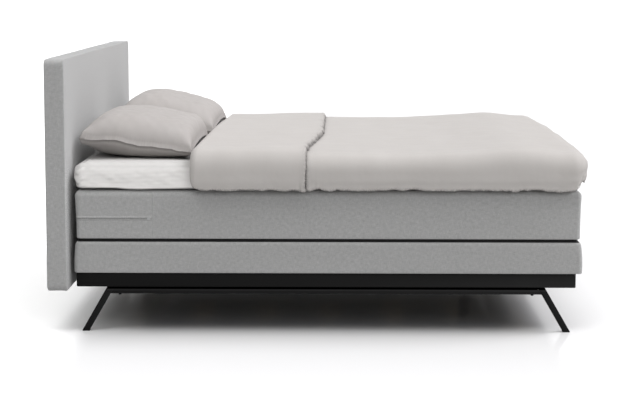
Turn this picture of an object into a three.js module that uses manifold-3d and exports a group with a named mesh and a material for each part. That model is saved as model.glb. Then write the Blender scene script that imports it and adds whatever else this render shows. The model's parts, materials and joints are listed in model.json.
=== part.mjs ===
// A double box spring bed: a steel leg frame, a lacquered plinth, two upholstered boxes, two
// mattresses, a topper under a fitted sheet, a headboard, a folded-back duvet and two pillows.
// Lengths are in millimetres. +Z is up, +X runs from the headboard to the foot end, and +Y away
// from the near side. Inside the bed group, x = 0 is the head face of the mattresses, y = 0 the
// middle of the bed and z = 0 the floor.
import * as THREE from "three";
import { mergeVertices } from "three/addons/utils/BufferGeometryUtils.js";
import Module from "manifold-3d";

const wasm = await Module();
wasm.setup();

// Whole bed
const bedLength = 2000;
const bedWidth = 1800;
const pairGap = 2; // between the two boxes, and between the two mattresses
const seatGap = 0.3; // between pieces that rest on, in or against each other
const cutOverrun = 5; // how far a cutting body runs past what it cuts

// Leg frame, of steel tube
const frameHeight = 183.3; // floor to the plinth's underside
const legSplayDegrees = 30;
const legThickness = 25; // square to the leg, seen from the side
const tubeWidth = 25; // across the bed
const tubeWall = 2;
const railHeight = 30;
const legInset = 122; // plinth's end to the leg's outer top corner
const railSetback = 15; // plinth's side to the rail's outer side
const crossTubeInset = 125; // leg's outer top corner to the cross tube's middle
const glideHeight = 4;
const glidePlugHeight = 14;
const boltDiameter = 8;
const boltHeadWidth = 13;
const boltHeadHeight = 6;
const boltInset = 48; // leg's outer top corner to the bolt's axis
const boltGrip = 32; // depth in the plinth

// Plinth, of lacquered timber
const plinthHeight = 59;
const plinthThickness = 40;
const plinthHeadInset = 3; // box's head end to the plinth's head end
const plinthFootInset = 20;
const plinthSideInset = 20;
const centreBeamWidth = 60;
const postWidth = 55;
const headPostInset = 180; // plinth's head end to the head post's middle
const footPostInset = 372; // plinth's foot end to the foot post's middle
const postFootDiameter = 44;
const postFootDiscHeight = 7;
const postFootEdge = 2; // the disc's rounded edge
const spindleDiameter = 10;
const spindleLength = 40; // above the disc
const footTravel = 15; // how far a post's foot can be screwed in
const footReserve = 3; // left between the disc and the post, and over the spindle, when it is in

// Boxes
const boxOverhang = 7; // past the mattress at the head end and at the foot end
const boxHeight = 128.3;
const boxWall = 3; // upholstery and its lining
const boxCornerRadius = 30;
const boxTopEdge = 18;
const boxBottomEdge = 8;
const boxTurnUnder = 45; // upholstery stapled to the underside
const trayBoard = 20; // thickness of the tray's side boards
const traySlatThickness = 18;
const traySlatWidth = 90;
const traySlatCount = 7;
const boxPadThickness = 20;

// Mattresses
const mattressHeight = 200;
const mattressWall = 8; // quilted ticking
const mattressCornerRadius = 45;
const mattressEdge = 20;
const foamThickness = 30;
const zipLength = 291;
const zipHeadInset = 12; // mattress's head end to the zip
const zipHeight = 12;
const zipLevel = 88; // mattress's underside to the zip's middle
const zipTapeThickness = 2;
const zipTeethHeight = 4;
const zipTeethThickness = 1;
const sliderLength = 12;
const sliderHeight = 8;
const sliderThickness = 3;
const sliderEndMargin = 8; // slider to the zip's closed end
const flapThickness = 1.6;
const flapOverlap = 4; // flap past the zip's slot, above and below
const flapStandOff = 0.5; // gap behind the flap's hanging part

// Topper and fitted sheet
const topperHeight = 109;
const topperCornerRadius = 60;
const topperTopEdge = 28;
const topperBottomEdge = 12;
const sheetThickness = 1.5;
const sheetTurnUnder = 70; // sheet held under the topper by its elastic hem

// Headboard
const headboardThickness = 80;
const headboardHeight = 922;
const headboardBottom = 174; // floor to its lower edge
const headboardGap = 30; // headboard's front to the mattress
const headboardSideOverhang = 50; // past the bed on each side
const headboardCornerRadius = 20;
const headboardEdge = 14;
const headboardWall = 2;
const headboardFoam = 28;
const coverSlot = 50; // width of the opening along the cover's lower edge
const bracketWidth = 60;
const bracketHeight = 80;
const bracketWall = 4;
const studDiameter = 10;
const studLength = 60; // from the bracket into the panel
const boxBoltMargin = 2; // bolt's end to the inner face of the tray's head board

// Duvet
const duvetThickness = 36;
const duvetFoldThickness = 62; // where it is folded back
const duvetCrown = 12; // how much fuller it is in the middle of the bed
const duvetFootPuff = 26; // how much fuller it is towards the foot end
const duvetPuffPower = 1.6; // how far towards the foot end its fullest place lies
const duvetPuffStartShare = 0.25; // share of its single length over which the puff sets in
const duvetSideThickness = 36;
const duvetFoldSideThickness = 41;
const duvetFootThickness = 25;
const duvetSideDrop = 107; // below the sheet's top
const duvetFootDrop = 80;
const duvetSideGap = 5; // sheet's side to the duvet's inner face
const duvetBend = 30; // inner radius over the topper's edge
const duvetFoldDepth = 467; // from the head fold to the hem of the part folded back
const duvetHemGroove = 7; // half the width of the groove at that hem
const duvetRim = 42; // how far in from a lower hem the edge thins
const duvetHemTurnDegrees = 1.7; // the hem isn't quite square to the bed
const duvetCornerRiseShare = 0.3; // how much less the corners hang
const duvetCornerPower = 4; // how square the drape's plan is at its corners

// Pillows
const pillowLength = 462; // along the bed
const pillowWidth = 670; // across the bed
const pillowCrown = 122; // seam to the top
const pillowBelly = 90; // seam to the underside, before it rests on the sheet
const pillowHeadSeam = 88; // sheet's top to the seam, at the head end
const pillowFootSeam = 30; // and at the foot end
const pillowDrawIn = 14; // how far each side is drawn in between the corners
const pillowHeadGap = 39; // headboard to the pillows
const pillowDuvetGap = 2.5;
const beddingTurnDegrees = 1; // pillows and head fold lie slightly askew

// Fineness of round stretches
const cornerSteps = 4;
const edgeSteps = 3;
const roundSides = 12;
const hexSides = 6;

// Places worked out from the sizes above
const halfBedWidth = (bedWidth - pairGap) / 2; // one box, one mattress
const halfOffset = (halfBedWidth + pairGap) / 2;
const boxLength = bedLength + 2 * boxOverhang;
const plinthHead = plinthHeadInset - boxOverhang;
const plinthFoot = bedLength + boxOverhang - plinthFootInset;
const plinthLength = plinthFoot - plinthHead;
const plinthWidth = bedWidth - 2 * plinthSideInset;
const plinthMiddle = (plinthHead + plinthFoot) / 2;
const beamOffset = (plinthWidth - plinthThickness) / 2;
const railOffset = plinthWidth / 2 - railSetback - tubeWidth / 2;
const legHead = plinthHead + legInset;
const legFoot = plinthFoot - legInset;
const plinthBottom = frameHeight;
const boxBottom = plinthBottom + plinthHeight + seatGap;
const mattressBottom = boxBottom + boxHeight + seatGap;
const sheetBottom = mattressBottom + mattressHeight + seatGap;
const sheetHeight = topperHeight + 2 * (sheetThickness + seatGap);
const sheetTop = sheetBottom + sheetHeight;
const sheetSpread = 2 * (sheetThickness + seatGap); // sheet's length and width beyond the topper's
const beddingSlope = Math.tan(THREE.MathUtils.degToRad(beddingTurnDegrees));
const pillowHead = pillowHeadGap - headboardGap;
const duvetNose = pillowHead + pillowLength + pillowDuvetGap;
const duvetFootReach = sheetSpread / 2 + duvetSideGap + duvetFootThickness;

// three.js geometry to and from a closed solid that can be cut and joined
function solidOf(geometry) {
  const bare = geometry.clone();
  bare.deleteAttribute("normal");
  bare.deleteAttribute("uv");
  const merged = mergeVertices(bare);
  return new wasm.Manifold(
    new wasm.Mesh({
      numProp: 3,
      vertProperties: new Float32Array(merged.attributes.position.array),
      triVerts: new Uint32Array(merged.index.array),
    }),
  );
}

function geometryOf(solid) {
  const mesh = solid.getMesh();
  const geometry = new THREE.BufferGeometry();
  geometry.setAttribute("position", new THREE.BufferAttribute(mesh.vertProperties, 3));
  geometry.setIndex(new THREE.BufferAttribute(mesh.triVerts, 1));
  geometry.computeVertexNormals();
  return geometry;
}

function cut(body, ...tools) {
  return geometryOf(tools.reduce((left, tool) => left.subtract(solidOf(tool)), solidOf(body)));
}

function join(body, ...others) {
  return geometryOf(others.reduce((whole, other) => whole.add(solidOf(other)), solidOf(body)));
}

// A box given by its size, with its middle at (x, y) and its underside at z.
function block(length, width, height, x = 0, y = 0, z = 0) {
  return new THREE.BoxGeometry(length, width, height).translate(x, y, z + height / 2);
}

// A cylinder with its lower end at the origin, pointing up.
function rod(diameter, length, sides = roundSides) {
  const geometry = new THREE.CylinderGeometry(diameter / 2, diameter / 2, length, sides);
  return geometry.rotateX(Math.PI / 2).translate(0, 0, length / 2);
}

// An outline in x and z, extruded across the bed and centred on y = 0.
function acrossBed(points, width) {
  const shape = new THREE.Shape(points.map(([x, z]) => new THREE.Vector2(x, z)));
  const geometry = new THREE.ExtrudeGeometry(shape, { depth: width, bevelEnabled: false });
  return geometry.rotateX(Math.PI / 2).translate(0, width / 2, 0);
}

// A rounded rectangle about the origin, anticlockwise.
function roundedOutline(length, width, radius) {
  const points = [];
  const centres = [
    [length / 2 - radius, width / 2 - radius],
    [radius - length / 2, width / 2 - radius],
    [radius - length / 2, radius - width / 2],
    [length / 2 - radius, radius - width / 2],
  ];
  centres.forEach(([x, y], corner) => {
    for (let step = 0; step <= cornerSteps; step += 1) {
      const angle = (corner + step / cornerSteps) * (Math.PI / 2);
      points.push([x + radius * Math.cos(angle), y + radius * Math.sin(angle)]);
    }
  });
  return points;
}

// A closed body from rings of points, lowest ring first, each { outline, z }.
function ringBody(rings) {
  const count = rings[0].outline.length;
  const positions = [];
  const faces = [];
  rings.forEach(({ outline, z }) => outline.forEach(([x, y]) => positions.push(x, y, z)));
  for (let ring = 0; ring + 1 < rings.length; ring += 1) {
    for (let point = 0; point < count; point += 1) {
      const next = (point + 1) % count;
      const low = ring * count;
      const high = low + count;
      faces.push(low + point, low + next, high + next);
      faces.push(low + point, high + next, high + point);
    }
  }
  const last = (rings.length - 1) * count;
  const bottomMiddle = rings.length * count;
  const topMiddle = bottomMiddle + 1;
  positions.push(0, 0, rings[0].z, 0, 0, rings[rings.length - 1].z);
  for (let point = 0; point < count; point += 1) {
    const next = (point + 1) % count;
    faces.push(bottomMiddle, next, point);
    faces.push(topMiddle, last + point, last + next);
  }
  return bodyFrom(positions, faces);
}

function bodyFrom(positions, faces) {
  const geometry = new THREE.BufferGeometry();
  geometry.setAttribute("position", new THREE.Float32BufferAttribute(positions, 3));
  geometry.setIndex(faces);
  geometry.computeVertexNormals();
  return geometry;
}

// A slab standing on z = 0 with rounded plan corners and rounded lower and upper edges.
function softSlab({ length, width, height, corner, bottomEdge = 0, topEdge = 0 }) {
  const rings = [];
  const ringAt = (inset, z) => {
    const outline = roundedOutline(length - 2 * inset, width - 2 * inset, corner - inset);
    rings.push({ outline, z });
  };
  const turns = (edge) => (edge > 0 ? edgeSteps : 0);
  for (let step = turns(bottomEdge); step >= 0; step -= 1) {
    const angle = (step / edgeSteps) * (Math.PI / 2);
    ringAt(bottomEdge * (1 - Math.cos(angle)), bottomEdge * (1 - Math.sin(angle)));
  }
  for (let step = 0; step <= turns(topEdge); step += 1) {
    const angle = (step / edgeSteps) * (Math.PI / 2);
    ringAt(topEdge * (1 - Math.cos(angle)), height - topEdge * (1 - Math.sin(angle)));
  }
  return ringBody(rings);
}

// A closed two-sided sheet. pointAt(row, column, side) gives [x, y, z], with side 1 for the upper
// face, -1 for the lower face and 0 on the rim, which both faces share.
function sheetBody(rowCount, columnCount, pointAt) {
  const positions = [];
  const faces = [];
  const lastRow = rowCount - 1;
  const lastColumn = columnCount - 1;
  const onRim = (row, column) =>
    row === 0 || row === lastRow || column === 0 || column === lastColumn;
  const numbered = { "1": [], "-1": [] };
  for (let row = 0; row < rowCount; row += 1) {
    for (let column = 0; column < columnCount; column += 1) {
      const place = row * columnCount + column;
      const sides = onRim(row, column) ? [0] : [1, -1];
      sides.forEach((side) => {
        const number = positions.length / 3;
        positions.push(...pointAt(row, column, side));
        if (side >= 0) numbered["1"][place] = number;
        if (side <= 0) numbered["-1"][place] = number;
      });
    }
  }
  for (let row = 0; row < lastRow; row += 1) {
    for (let column = 0; column < lastColumn; column += 1) {
      const a = row * columnCount + column;
      const b = a + columnCount;
      const c = b + 1;
      const d = a + 1;
      // The diagonal runs to the sheet's nearest corner, so no corner triangle lies on the rim.
      const falling = 2 * row < lastRow === 2 * column < lastColumn;
      const triangles = falling ? [[a, b, c], [a, c, d]] : [[a, b, d], [b, c, d]];
      triangles.forEach(([p, q, r]) => {
        faces.push(numbered["1"][p], numbered["1"][q], numbered["1"][r]);
        faces.push(numbered["-1"][p], numbered["-1"][r], numbered["-1"][q]);
      });
    }
  }
  return bodyFrom(positions, faces);
}

function finish(colour, roughness, metalness = 0) {
  return new THREE.MeshStandardMaterial({ color: colour, roughness, metalness });
}

const blackSteel = () => finish(0x1b1b1b, 0.45, 0.6);
const zincSteel = () => finish(0xb0b2b4, 0.35, 0.9);
const blackPlastic = () => finish(0x202020, 0.6);
const blackLacquer = () => finish(0x1c1c1c, 0.4);
const timber = () => finish(0xc9a877, 0.7);
const greyWeave = () => finish(0x939393, 0.95);
const blackCloth = () => finish(0x262626, 0.95);
const springCloth = () => finish(0xe6e4de, 0.9);
const foam = () => finish(0xe9dfb8, 0.95);
const whiteSheet = () => finish(0xe8e7e7, 0.9);
const greigeCotton = () => finish(0xcbc6c4, 0.9);

function piece(name, geometry, material, x = 0, y = 0, z = 0) {
  const mesh = new THREE.Mesh(geometry, material);
  mesh.name = name;
  mesh.position.set(x, y, z);
  return mesh;
}

const sides = [
  { name: "near", sign: -1 },
  { name: "far", sign: 1 },
];
const ends = [
  { name: "head", legTop: legHead, inward: 1 },
  { name: "foot", legTop: legFoot, inward: -1 },
];

// Leg outline from its outer top corner at x = 0, leaning out towards -x as it goes down.
function legOutline(bottom, inset) {
  const lean = Math.tan(THREE.MathUtils.degToRad(legSplayDegrees));
  const across = 1 / Math.cos(THREE.MathUtils.degToRad(legSplayDegrees));
  const outer = inset * across;
  const inner = (legThickness - inset) * across;
  const drop = (frameHeight - seatGap - bottom) * lean;
  return [
    [outer, frameHeight - seatGap],
    [outer - drop, bottom],
    [inner - drop, bottom],
    [inner, frameHeight - seatGap],
  ];
}

function legShape() {
  const bottom = glideHeight + seatGap;
  const lean = Math.tan(THREE.MathUtils.degToRad(legSplayDegrees));
  const bore = legOutline(bottom, tubeWall).map(([x, z]) => {
    const over = z > bottom ? cutOverrun : -cutOverrun;
    return [x + over * lean, z + over];
  });
  return cut(acrossBed(legOutline(bottom, 0), tubeWidth), acrossBed(bore, tubeWidth - 2 * tubeWall));
}

// Plastic pad under a leg, with a plug that fits the tube's bore.
function glideShape() {
  const lean = Math.tan(THREE.MathUtils.degToRad(legSplayDegrees));
  const top = glideHeight + glidePlugHeight;
  const footOf = (inset) => {
    const outline = legOutline(glideHeight, inset);
    return [outline[1], outline[2]];
  };
  const [padOuter, padInner] = footOf(0);
  const padLength = padInner[0] - padOuter[0];
  const pad = block(padLength, tubeWidth, glideHeight, (padInner[0] + padOuter[0]) / 2);
  const [plugOuter, plugInner] = footOf(tubeWall + seatGap);
  const middle = glideHeight / 2; // the plug starts inside the pad, so that the two join
  const plugOutline = [
    [plugInner[0] - middle * lean, middle],
    [plugInner[0] + glidePlugHeight * lean, top],
    [plugOuter[0] + glidePlugHeight * lean, top],
    [plugOuter[0] - middle * lean, middle],
  ];
  const plug = acrossBed(plugOutline.reverse(), tubeWidth - 2 * (tubeWall + seatGap));
  return join(pad, plug);
}

// Long rail between two legs, its ends cut to their slant and its middle at x = plinthMiddle.
function railShape() {
  const lean = Math.tan(THREE.MathUtils.degToRad(legSplayDegrees));
  const across = 1 / Math.cos(THREE.MathUtils.degToRad(legSplayDegrees));
  const top = frameHeight - seatGap;
  const halfTop = (legFoot - legHead) / 2 - (legThickness + seatGap) * across;
  const halfBottom = halfTop + railHeight * lean;
  const outline = [
    [-halfBottom, top - railHeight],
    [halfBottom, top - railHeight],
    [halfTop, top],
    [-halfTop, top],
  ];
  const boreWidth = tubeWidth - 2 * tubeWall;
  const boreHeight = railHeight - 2 * tubeWall;
  const boreLength = 2 * (halfBottom + cutOverrun);
  const bore = block(boreLength, boreWidth, boreHeight, 0, 0, top - railHeight + tubeWall);
  const holeLength = railHeight + 2 * cutOverrun;
  const holes = [-1, 1].map((sign) => {
    const x = sign * ((legFoot - legHead) / 2 - boltInset);
    return rod(boltDiameter + 2 * seatGap, holeLength).translate(x, 0, top - railHeight - cutOverrun);
  });
  return cut(acrossBed(outline, tubeWidth), bore, ...holes);
}

function crossTubeShape() {
  const length = 2 * railOffset - tubeWidth - 2 * seatGap;
  const z = frameHeight - seatGap - railHeight;
  const outer = block(tubeWidth, length, railHeight, 0, 0, z);
  const boreHeight = railHeight - 2 * tubeWall;
  const boreWidth = tubeWidth - 2 * tubeWall;
  return cut(outer, block(boreWidth, length + 2 * cutOverrun, boreHeight, 0, 0, z + tubeWall));
}

// Hexagon bolt pointing up, its head's top face at the origin.
function boltShape(gripLength, headHeight) {
  const shank = rod(boltDiameter, gripLength + headHeight / 2).translate(0, 0, -headHeight / 2);
  return join(rod(boltHeadWidth, headHeight, hexSides).translate(0, 0, -headHeight), shank);
}

function legFrame() {
  const group = new THREE.Group();
  const boltTop = frameHeight - seatGap - railHeight - seatGap;
  sides.forEach(({ name: side, sign }) => {
    const y = sign * railOffset;
    group.add(piece(`rail_${side}`, railShape(), blackSteel(), plinthMiddle, y));
    ends.forEach(({ name: end, legTop, inward }) => {
      const leg = piece(`leg_${end}_${side}`, legShape(), blackSteel(), legTop, y);
      const glide = piece(`glide_${end}_${side}`, glideShape(), blackPlastic(), legTop, y);
      [leg, glide].forEach((mesh) => {
        mesh.rotation.z = inward > 0 ? 0 : Math.PI;
      });
      const grip = railHeight + 2 * seatGap + boltGrip;
      const boltX = legTop + inward * boltInset;
      const bolt = boltShape(grip, boltHeadHeight);
      group.add(leg, glide);
      group.add(piece(`frame_bolt_${end}_${side}`, bolt, blackSteel(), boltX, y, boltTop));
    });
  });
  ends.forEach(({ name: end, legTop, inward }) => {
    const x = legTop + inward * crossTubeInset;
    group.add(piece(`cross_tube_${end}`, crossTubeShape(), blackSteel(), x));
  });
  return group;
}

function sideBeamShape(boltY) {
  const holes = ends.map(({ legTop, inward }) => {
    const hole = rod(boltDiameter + 2 * seatGap, boltGrip + cutOverrun + seatGap);
    return hole.translate(legTop + inward * boltInset - plinthMiddle, boltY, -cutOverrun);
  });
  return cut(block(plinthLength, plinthThickness, plinthHeight), ...holes);
}

// Square post with a bore for the levelling foot's spindle.
function postShape() {
  const bottom = postFootDiscHeight + footTravel + footReserve;
  const top = plinthBottom - seatGap;
  const boreDepth = postFootDiscHeight + spindleLength + footTravel + footReserve - bottom;
  const bore = rod(spindleDiameter + 2 * seatGap, boreDepth + cutOverrun);
  return cut(
    block(postWidth, postWidth, top - bottom, 0, 0, bottom),
    bore.translate(0, 0, bottom - cutOverrun),
  );
}

// Round levelling foot: a disc with rounded edges and a threaded spindle.
function postFootShape() {
  const radius = postFootDiameter / 2;
  const spindle = spindleDiameter / 2;
  const top = postFootDiscHeight;
  const profile = [
    [0, 0],
    [radius - postFootEdge, 0],
    [radius, postFootEdge],
    [radius, top - postFootEdge],
    [radius - postFootEdge, top],
    [spindle, top],
    [spindle, top + spindleLength],
    [0, top + spindleLength],
  ].map(([x, y]) => new THREE.Vector2(x, y));
  return new THREE.LatheGeometry(profile, 2 * roundSides).rotateX(Math.PI / 2);
}

function plinth() {
  const group = new THREE.Group();
  sides.forEach(({ name: side, sign }) => {
    const y = sign * beamOffset;
    const shape = sideBeamShape(sign * (railOffset - beamOffset));
    group.add(piece(`plinth_side_${side}`, shape, blackLacquer(), plinthMiddle, y, plinthBottom));
  });
  const endLength = plinthWidth - 2 * (plinthThickness + seatGap);
  const endShape = () => block(plinthThickness, endLength, plinthHeight);
  const headX = plinthHead + plinthThickness / 2;
  const footX = plinthFoot - plinthThickness / 2;
  group.add(piece("plinth_end_head", endShape(), blackLacquer(), headX, 0, plinthBottom));
  group.add(piece("plinth_end_foot", endShape(), blackLacquer(), footX, 0, plinthBottom));
  const beamLength = plinthLength - 2 * (plinthThickness + seatGap);
  const beam = block(beamLength, centreBeamWidth, plinthHeight);
  group.add(piece("centre_beam", beam, timber(), plinthMiddle, 0, plinthBottom));
  const posts = [
    ["head", plinthHead + headPostInset],
    ["foot", plinthFoot - footPostInset],
  ];
  posts.forEach(([end, x]) => {
    group.add(piece(`centre_post_${end}`, postShape(), blackLacquer(), x));
    group.add(piece(`post_foot_${end}`, postFootShape(), blackPlastic(), x));
  });
  return group;
}

// Box upholstery: a soft slab open below, where the under-cloth closes it. The bolt hole is in
// its head end.
function boxCoverShape() {
  const outer = softSlab({
    length: boxLength,
    width: halfBedWidth,
    height: boxHeight,
    corner: boxCornerRadius,
    bottomEdge: boxBottomEdge,
    topEdge: boxTopEdge,
  });
  const hollow = softSlab({
    length: boxLength - 2 * boxWall,
    width: halfBedWidth - 2 * boxWall,
    height: boxHeight - 2 * boxWall,
    corner: boxCornerRadius - boxWall,
    topEdge: boxTopEdge - boxWall,
  }).translate(0, 0, boxWall);
  const opening = block(
    boxLength - 2 * boxTurnUnder,
    halfBedWidth - 2 * boxTurnUnder,
    2 * boxWall,
    0,
    0,
    -boxWall / 2,
  );
  return cut(outer, hollow, opening, boxBoltHole(boxWall));
}

// Hole through the head end of a box, from outside its cover to a given depth.
function boxBoltHole(depth) {
  const hole = rod(boltDiameter + 2 * seatGap, depth + 2 * cutOverrun).rotateY(Math.PI / 2);
  return hole.translate(-boxLength / 2 - cutOverrun, 0, boxHeight / 2);
}

// Timber tray of a box: side boards all round and slats across, glued into one.
function trayShape() {
  const inset = boxWall + seatGap;
  const height = boxHeight - 2 * inset - boxPadThickness - seatGap;
  const length = boxLength - 2 * inset;
  const width = halfBedWidth - 2 * inset;
  const boards = softSlab({ length, width, height, corner: boxCornerRadius - inset });
  const innerLength = length - 2 * trayBoard;
  const innerWidth = width - 2 * trayBoard;
  const inside = block(innerLength, innerWidth, height + 2 * cutOverrun, 0, 0, -cutOverrun);
  const pitch = (innerLength - traySlatWidth) / (traySlatCount - 1);
  const slats = [];
  for (let slat = 0; slat < traySlatCount; slat += 1) {
    const x = (slat - (traySlatCount - 1) / 2) * pitch;
    slats.push(block(traySlatWidth, innerWidth + trayBoard, traySlatThickness, x));
  }
  const tray = join(cut(boards, inside), ...slats).translate(0, 0, inset);
  return cut(tray, boxBoltHole(boxWall + trayBoard));
}

// Spring unit of a box, standing on the slats between the side boards.
function boxSpringShape() {
  const inset = boxWall + trayBoard + 2 * seatGap;
  const bottom = boxWall + traySlatThickness + 2 * seatGap;
  const top = boxHeight - boxWall - boxPadThickness - 2 * seatGap;
  return block(boxLength - 2 * inset, halfBedWidth - 2 * inset, top - bottom, 0, 0, bottom);
}

function boxPadShape() {
  const inset = boxWall + seatGap;
  const slab = softSlab({
    length: boxLength - 2 * inset,
    width: halfBedWidth - 2 * inset,
    height: boxPadThickness,
    corner: boxCornerRadius - inset,
    topEdge: boxTopEdge - inset,
  });
  return slab.translate(0, 0, boxHeight - inset - boxPadThickness);
}

function underClothShape() {
  const inset = boxTurnUnder + seatGap;
  return block(boxLength - 2 * inset, halfBedWidth - 2 * inset, boxWall);
}

function boxes() {
  const group = new THREE.Group();
  sides.forEach(({ name: side, sign }) => {
    const box = new THREE.Group();
    box.position.set(bedLength / 2, sign * halfOffset, boxBottom);
    box.add(piece(`box_cover_${side}`, boxCoverShape(), greyWeave()));
    box.add(piece(`box_tray_${side}`, trayShape(), timber()));
    box.add(piece(`box_springs_${side}`, boxSpringShape(), springCloth()));
    box.add(piece(`box_pad_${side}`, boxPadShape(), foam()));
    box.add(piece(`box_under_cloth_${side}`, underClothShape(), blackCloth()));
    group.add(box);
  });
  return group;
}

// Middle of the zip along the mattress, from the mattress's middle.
const zipMiddle = zipHeadInset + zipLength / 2 - bedLength / 2;

// Mattress ticking with the slot for its zip on the -y side and the flap that hangs over it.
function mattressCoverShape() {
  const outer = softSlab({
    length: bedLength,
    width: halfBedWidth,
    height: mattressHeight,
    corner: mattressCornerRadius,
    bottomEdge: mattressEdge,
    topEdge: mattressEdge,
  });
  const hollow = softSlab({
    length: bedLength - 2 * mattressWall,
    width: halfBedWidth - 2 * mattressWall,
    height: mattressHeight - 2 * mattressWall,
    corner: mattressCornerRadius - mattressWall,
    bottomEdge: mattressEdge - mattressWall,
    topEdge: mattressEdge - mattressWall,
  }).translate(0, 0, mattressWall);
  const face = -halfBedWidth / 2;
  const slotDepth = mattressWall + 2 * cutOverrun;
  const slotY = face + mattressWall / 2;
  const slotZ = zipLevel - zipHeight / 2;
  const slotX = zipMiddle + mattressCornerRadius / 2;
  const slotLength = zipLength - mattressCornerRadius;
  const slot = block(slotLength, slotDepth, zipHeight, slotX, slotY, slotZ);
  const flapY = face - flapStandOff - flapThickness / 2;
  const flapHeight = zipHeight + 2 * flapOverlap;
  const flap = block(slotLength, flapThickness, flapHeight, slotX, flapY, slotZ - flapOverlap);
  const rootDepth = flapStandOff + mattressWall / 2;
  const rootY = face - flapStandOff + rootDepth / 2 - flapThickness / 2;
  const root = block(slotLength, rootDepth, flapOverlap, slotX, rootY, slotZ + zipHeight);
  return join(cut(outer, hollow, slot), flap, root);
}

// Zip tape with its raised teeth, lying in the slot's inner part.
function zipShape() {
  const length = zipLength - mattressCornerRadius - 2 * seatGap;
  const x = zipMiddle + mattressCornerRadius / 2;
  const tapeY = -halfBedWidth / 2 + mattressWall - zipTapeThickness / 2;
  const tapeHeight = zipHeight - 2 * seatGap;
  const tape = block(length, zipTapeThickness, tapeHeight, x, tapeY, zipLevel - tapeHeight / 2);
  const teethY = tapeY - zipTapeThickness / 2;
  const teethZ = zipLevel - zipTeethHeight / 2;
  return join(tape, block(length, 2 * zipTeethThickness, zipTeethHeight, x, teethY, teethZ));
}

// Slider over the teeth, at the zip's closed end.
function zipSliderShape() {
  const x = zipMiddle + zipLength / 2 - sliderEndMargin - sliderLength / 2;
  const teethFace = -halfBedWidth / 2 + mattressWall - zipTapeThickness - zipTeethThickness;
  const y = teethFace - seatGap - sliderThickness / 2;
  return block(sliderLength, sliderThickness, sliderHeight, x, y, zipLevel - sliderHeight / 2);
}

function foamLayerShape(upper) {
  const inset = mattressWall + seatGap;
  const edge = mattressEdge - mattressWall;
  const slab = softSlab({
    length: bedLength - 2 * inset,
    width: halfBedWidth - 2 * inset,
    height: foamThickness,
    corner: mattressCornerRadius - inset,
    bottomEdge: upper ? 0 : edge,
    topEdge: upper ? edge : 0,
  });
  return slab.translate(0, 0, upper ? mattressHeight - inset - foamThickness : inset);
}

function mattressSpringShape() {
  const inset = mattressWall + seatGap;
  const layer = inset + foamThickness + seatGap;
  const slab = softSlab({
    length: bedLength - 2 * inset,
    width: halfBedWidth - 2 * inset,
    height: mattressHeight - 2 * layer,
    corner: mattressCornerRadius - inset,
  });
  return slab.translate(0, 0, layer);
}

// Two equal mattresses, the far one turned end for end, so both zips are on the outer sides.
function mattresses() {
  const group = new THREE.Group();
  sides.forEach(({ name: side, sign }) => {
    const mattress = new THREE.Group();
    mattress.position.set(bedLength / 2, sign * halfOffset, mattressBottom);
    mattress.rotation.z = sign > 0 ? Math.PI : 0;
    mattress.add(piece(`mattress_cover_${side}`, mattressCoverShape(), greyWeave()));
    mattress.add(piece(`mattress_springs_${side}`, mattressSpringShape(), springCloth()));
    mattress.add(piece(`mattress_foam_top_${side}`, foamLayerShape(true), foam()));
    mattress.add(piece(`mattress_foam_bottom_${side}`, foamLayerShape(false), foam()));
    mattress.add(piece(`mattress_zip_${side}`, zipShape(), blackPlastic()));
    mattress.add(piece(`zip_slider_${side}`, zipSliderShape(), zincSteel()));
    group.add(mattress);
  });
  return group;
}

function topperShape() {
  return softSlab({
    length: bedLength,
    width: bedWidth,
    height: topperHeight,
    corner: topperCornerRadius,
    bottomEdge: topperBottomEdge,
    topEdge: topperTopEdge,
  }).translate(0, 0, sheetThickness + seatGap);
}

// Fitted sheet, open below inside its elastic hem.
function fittedSheetShape() {
  const growth = sheetThickness + seatGap;
  const outer = softSlab({
    length: bedLength + 2 * growth,
    width: bedWidth + 2 * growth,
    height: sheetHeight,
    corner: topperCornerRadius + growth,
    bottomEdge: topperBottomEdge + growth,
    topEdge: topperTopEdge + growth,
  });
  const hollow = softSlab({
    length: bedLength + 2 * seatGap,
    width: bedWidth + 2 * seatGap,
    height: topperHeight + 2 * seatGap,
    corner: topperCornerRadius + seatGap,
    bottomEdge: topperBottomEdge + seatGap,
    topEdge: topperTopEdge + seatGap,
  }).translate(0, 0, sheetThickness);
  const opening = block(
    bedLength - 2 * sheetTurnUnder,
    bedWidth - 2 * sheetTurnUnder,
    2 * sheetThickness,
    0,
    0,
    -sheetThickness / 2,
  );
  return cut(outer, hollow, opening);
}

function topper() {
  const group = new THREE.Group();
  group.position.set(bedLength / 2, 0, sheetBottom);
  group.add(piece("topper", topperShape(), foam()));
  group.add(piece("fitted_sheet", fittedSheetShape(), whiteSheet()));
  return group;
}

// Stands a lying slab up as a layer of the headboard, its upper face forwards.
function uprightSlab(slab) {
  return slab.rotateY(Math.PI / 2);
}

const headboardWidth = bedWidth + 2 * headboardSideOverhang;
const bracketLevel = boxBottom + boxHeight / 2; // middle of the brackets
const bracketDepth = headboardGap - boxOverhang - 2 * seatGap;
const boxBoltLength = bracketWall + boxWall + trayBoard + 3 * seatGap - boxBoltMargin;

// Holes for the studs of both brackets, from the headboard's front to a given depth.
function studHoles(depth) {
  return sides.map(({ sign }) => {
    const hole = rod(studDiameter + 2 * seatGap, depth + cutOverrun).rotateY(-Math.PI / 2);
    return hole.translate(cutOverrun, sign * halfOffset, bracketLevel - headboardBottom);
  });
}

// The headboard's own frame: x = 0 is its front face and z = 0 its lower edge.
function headboardLayer({ thickness, inset, back, frontEdge, backEdge }) {
  const slab = softSlab({
    length: headboardHeight - 2 * inset,
    width: headboardWidth - 2 * inset,
    height: thickness,
    corner: headboardCornerRadius - inset,
    bottomEdge: backEdge,
    topEdge: frontEdge,
  });
  return uprightSlab(slab).translate(back, 0, headboardHeight / 2);
}

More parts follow.
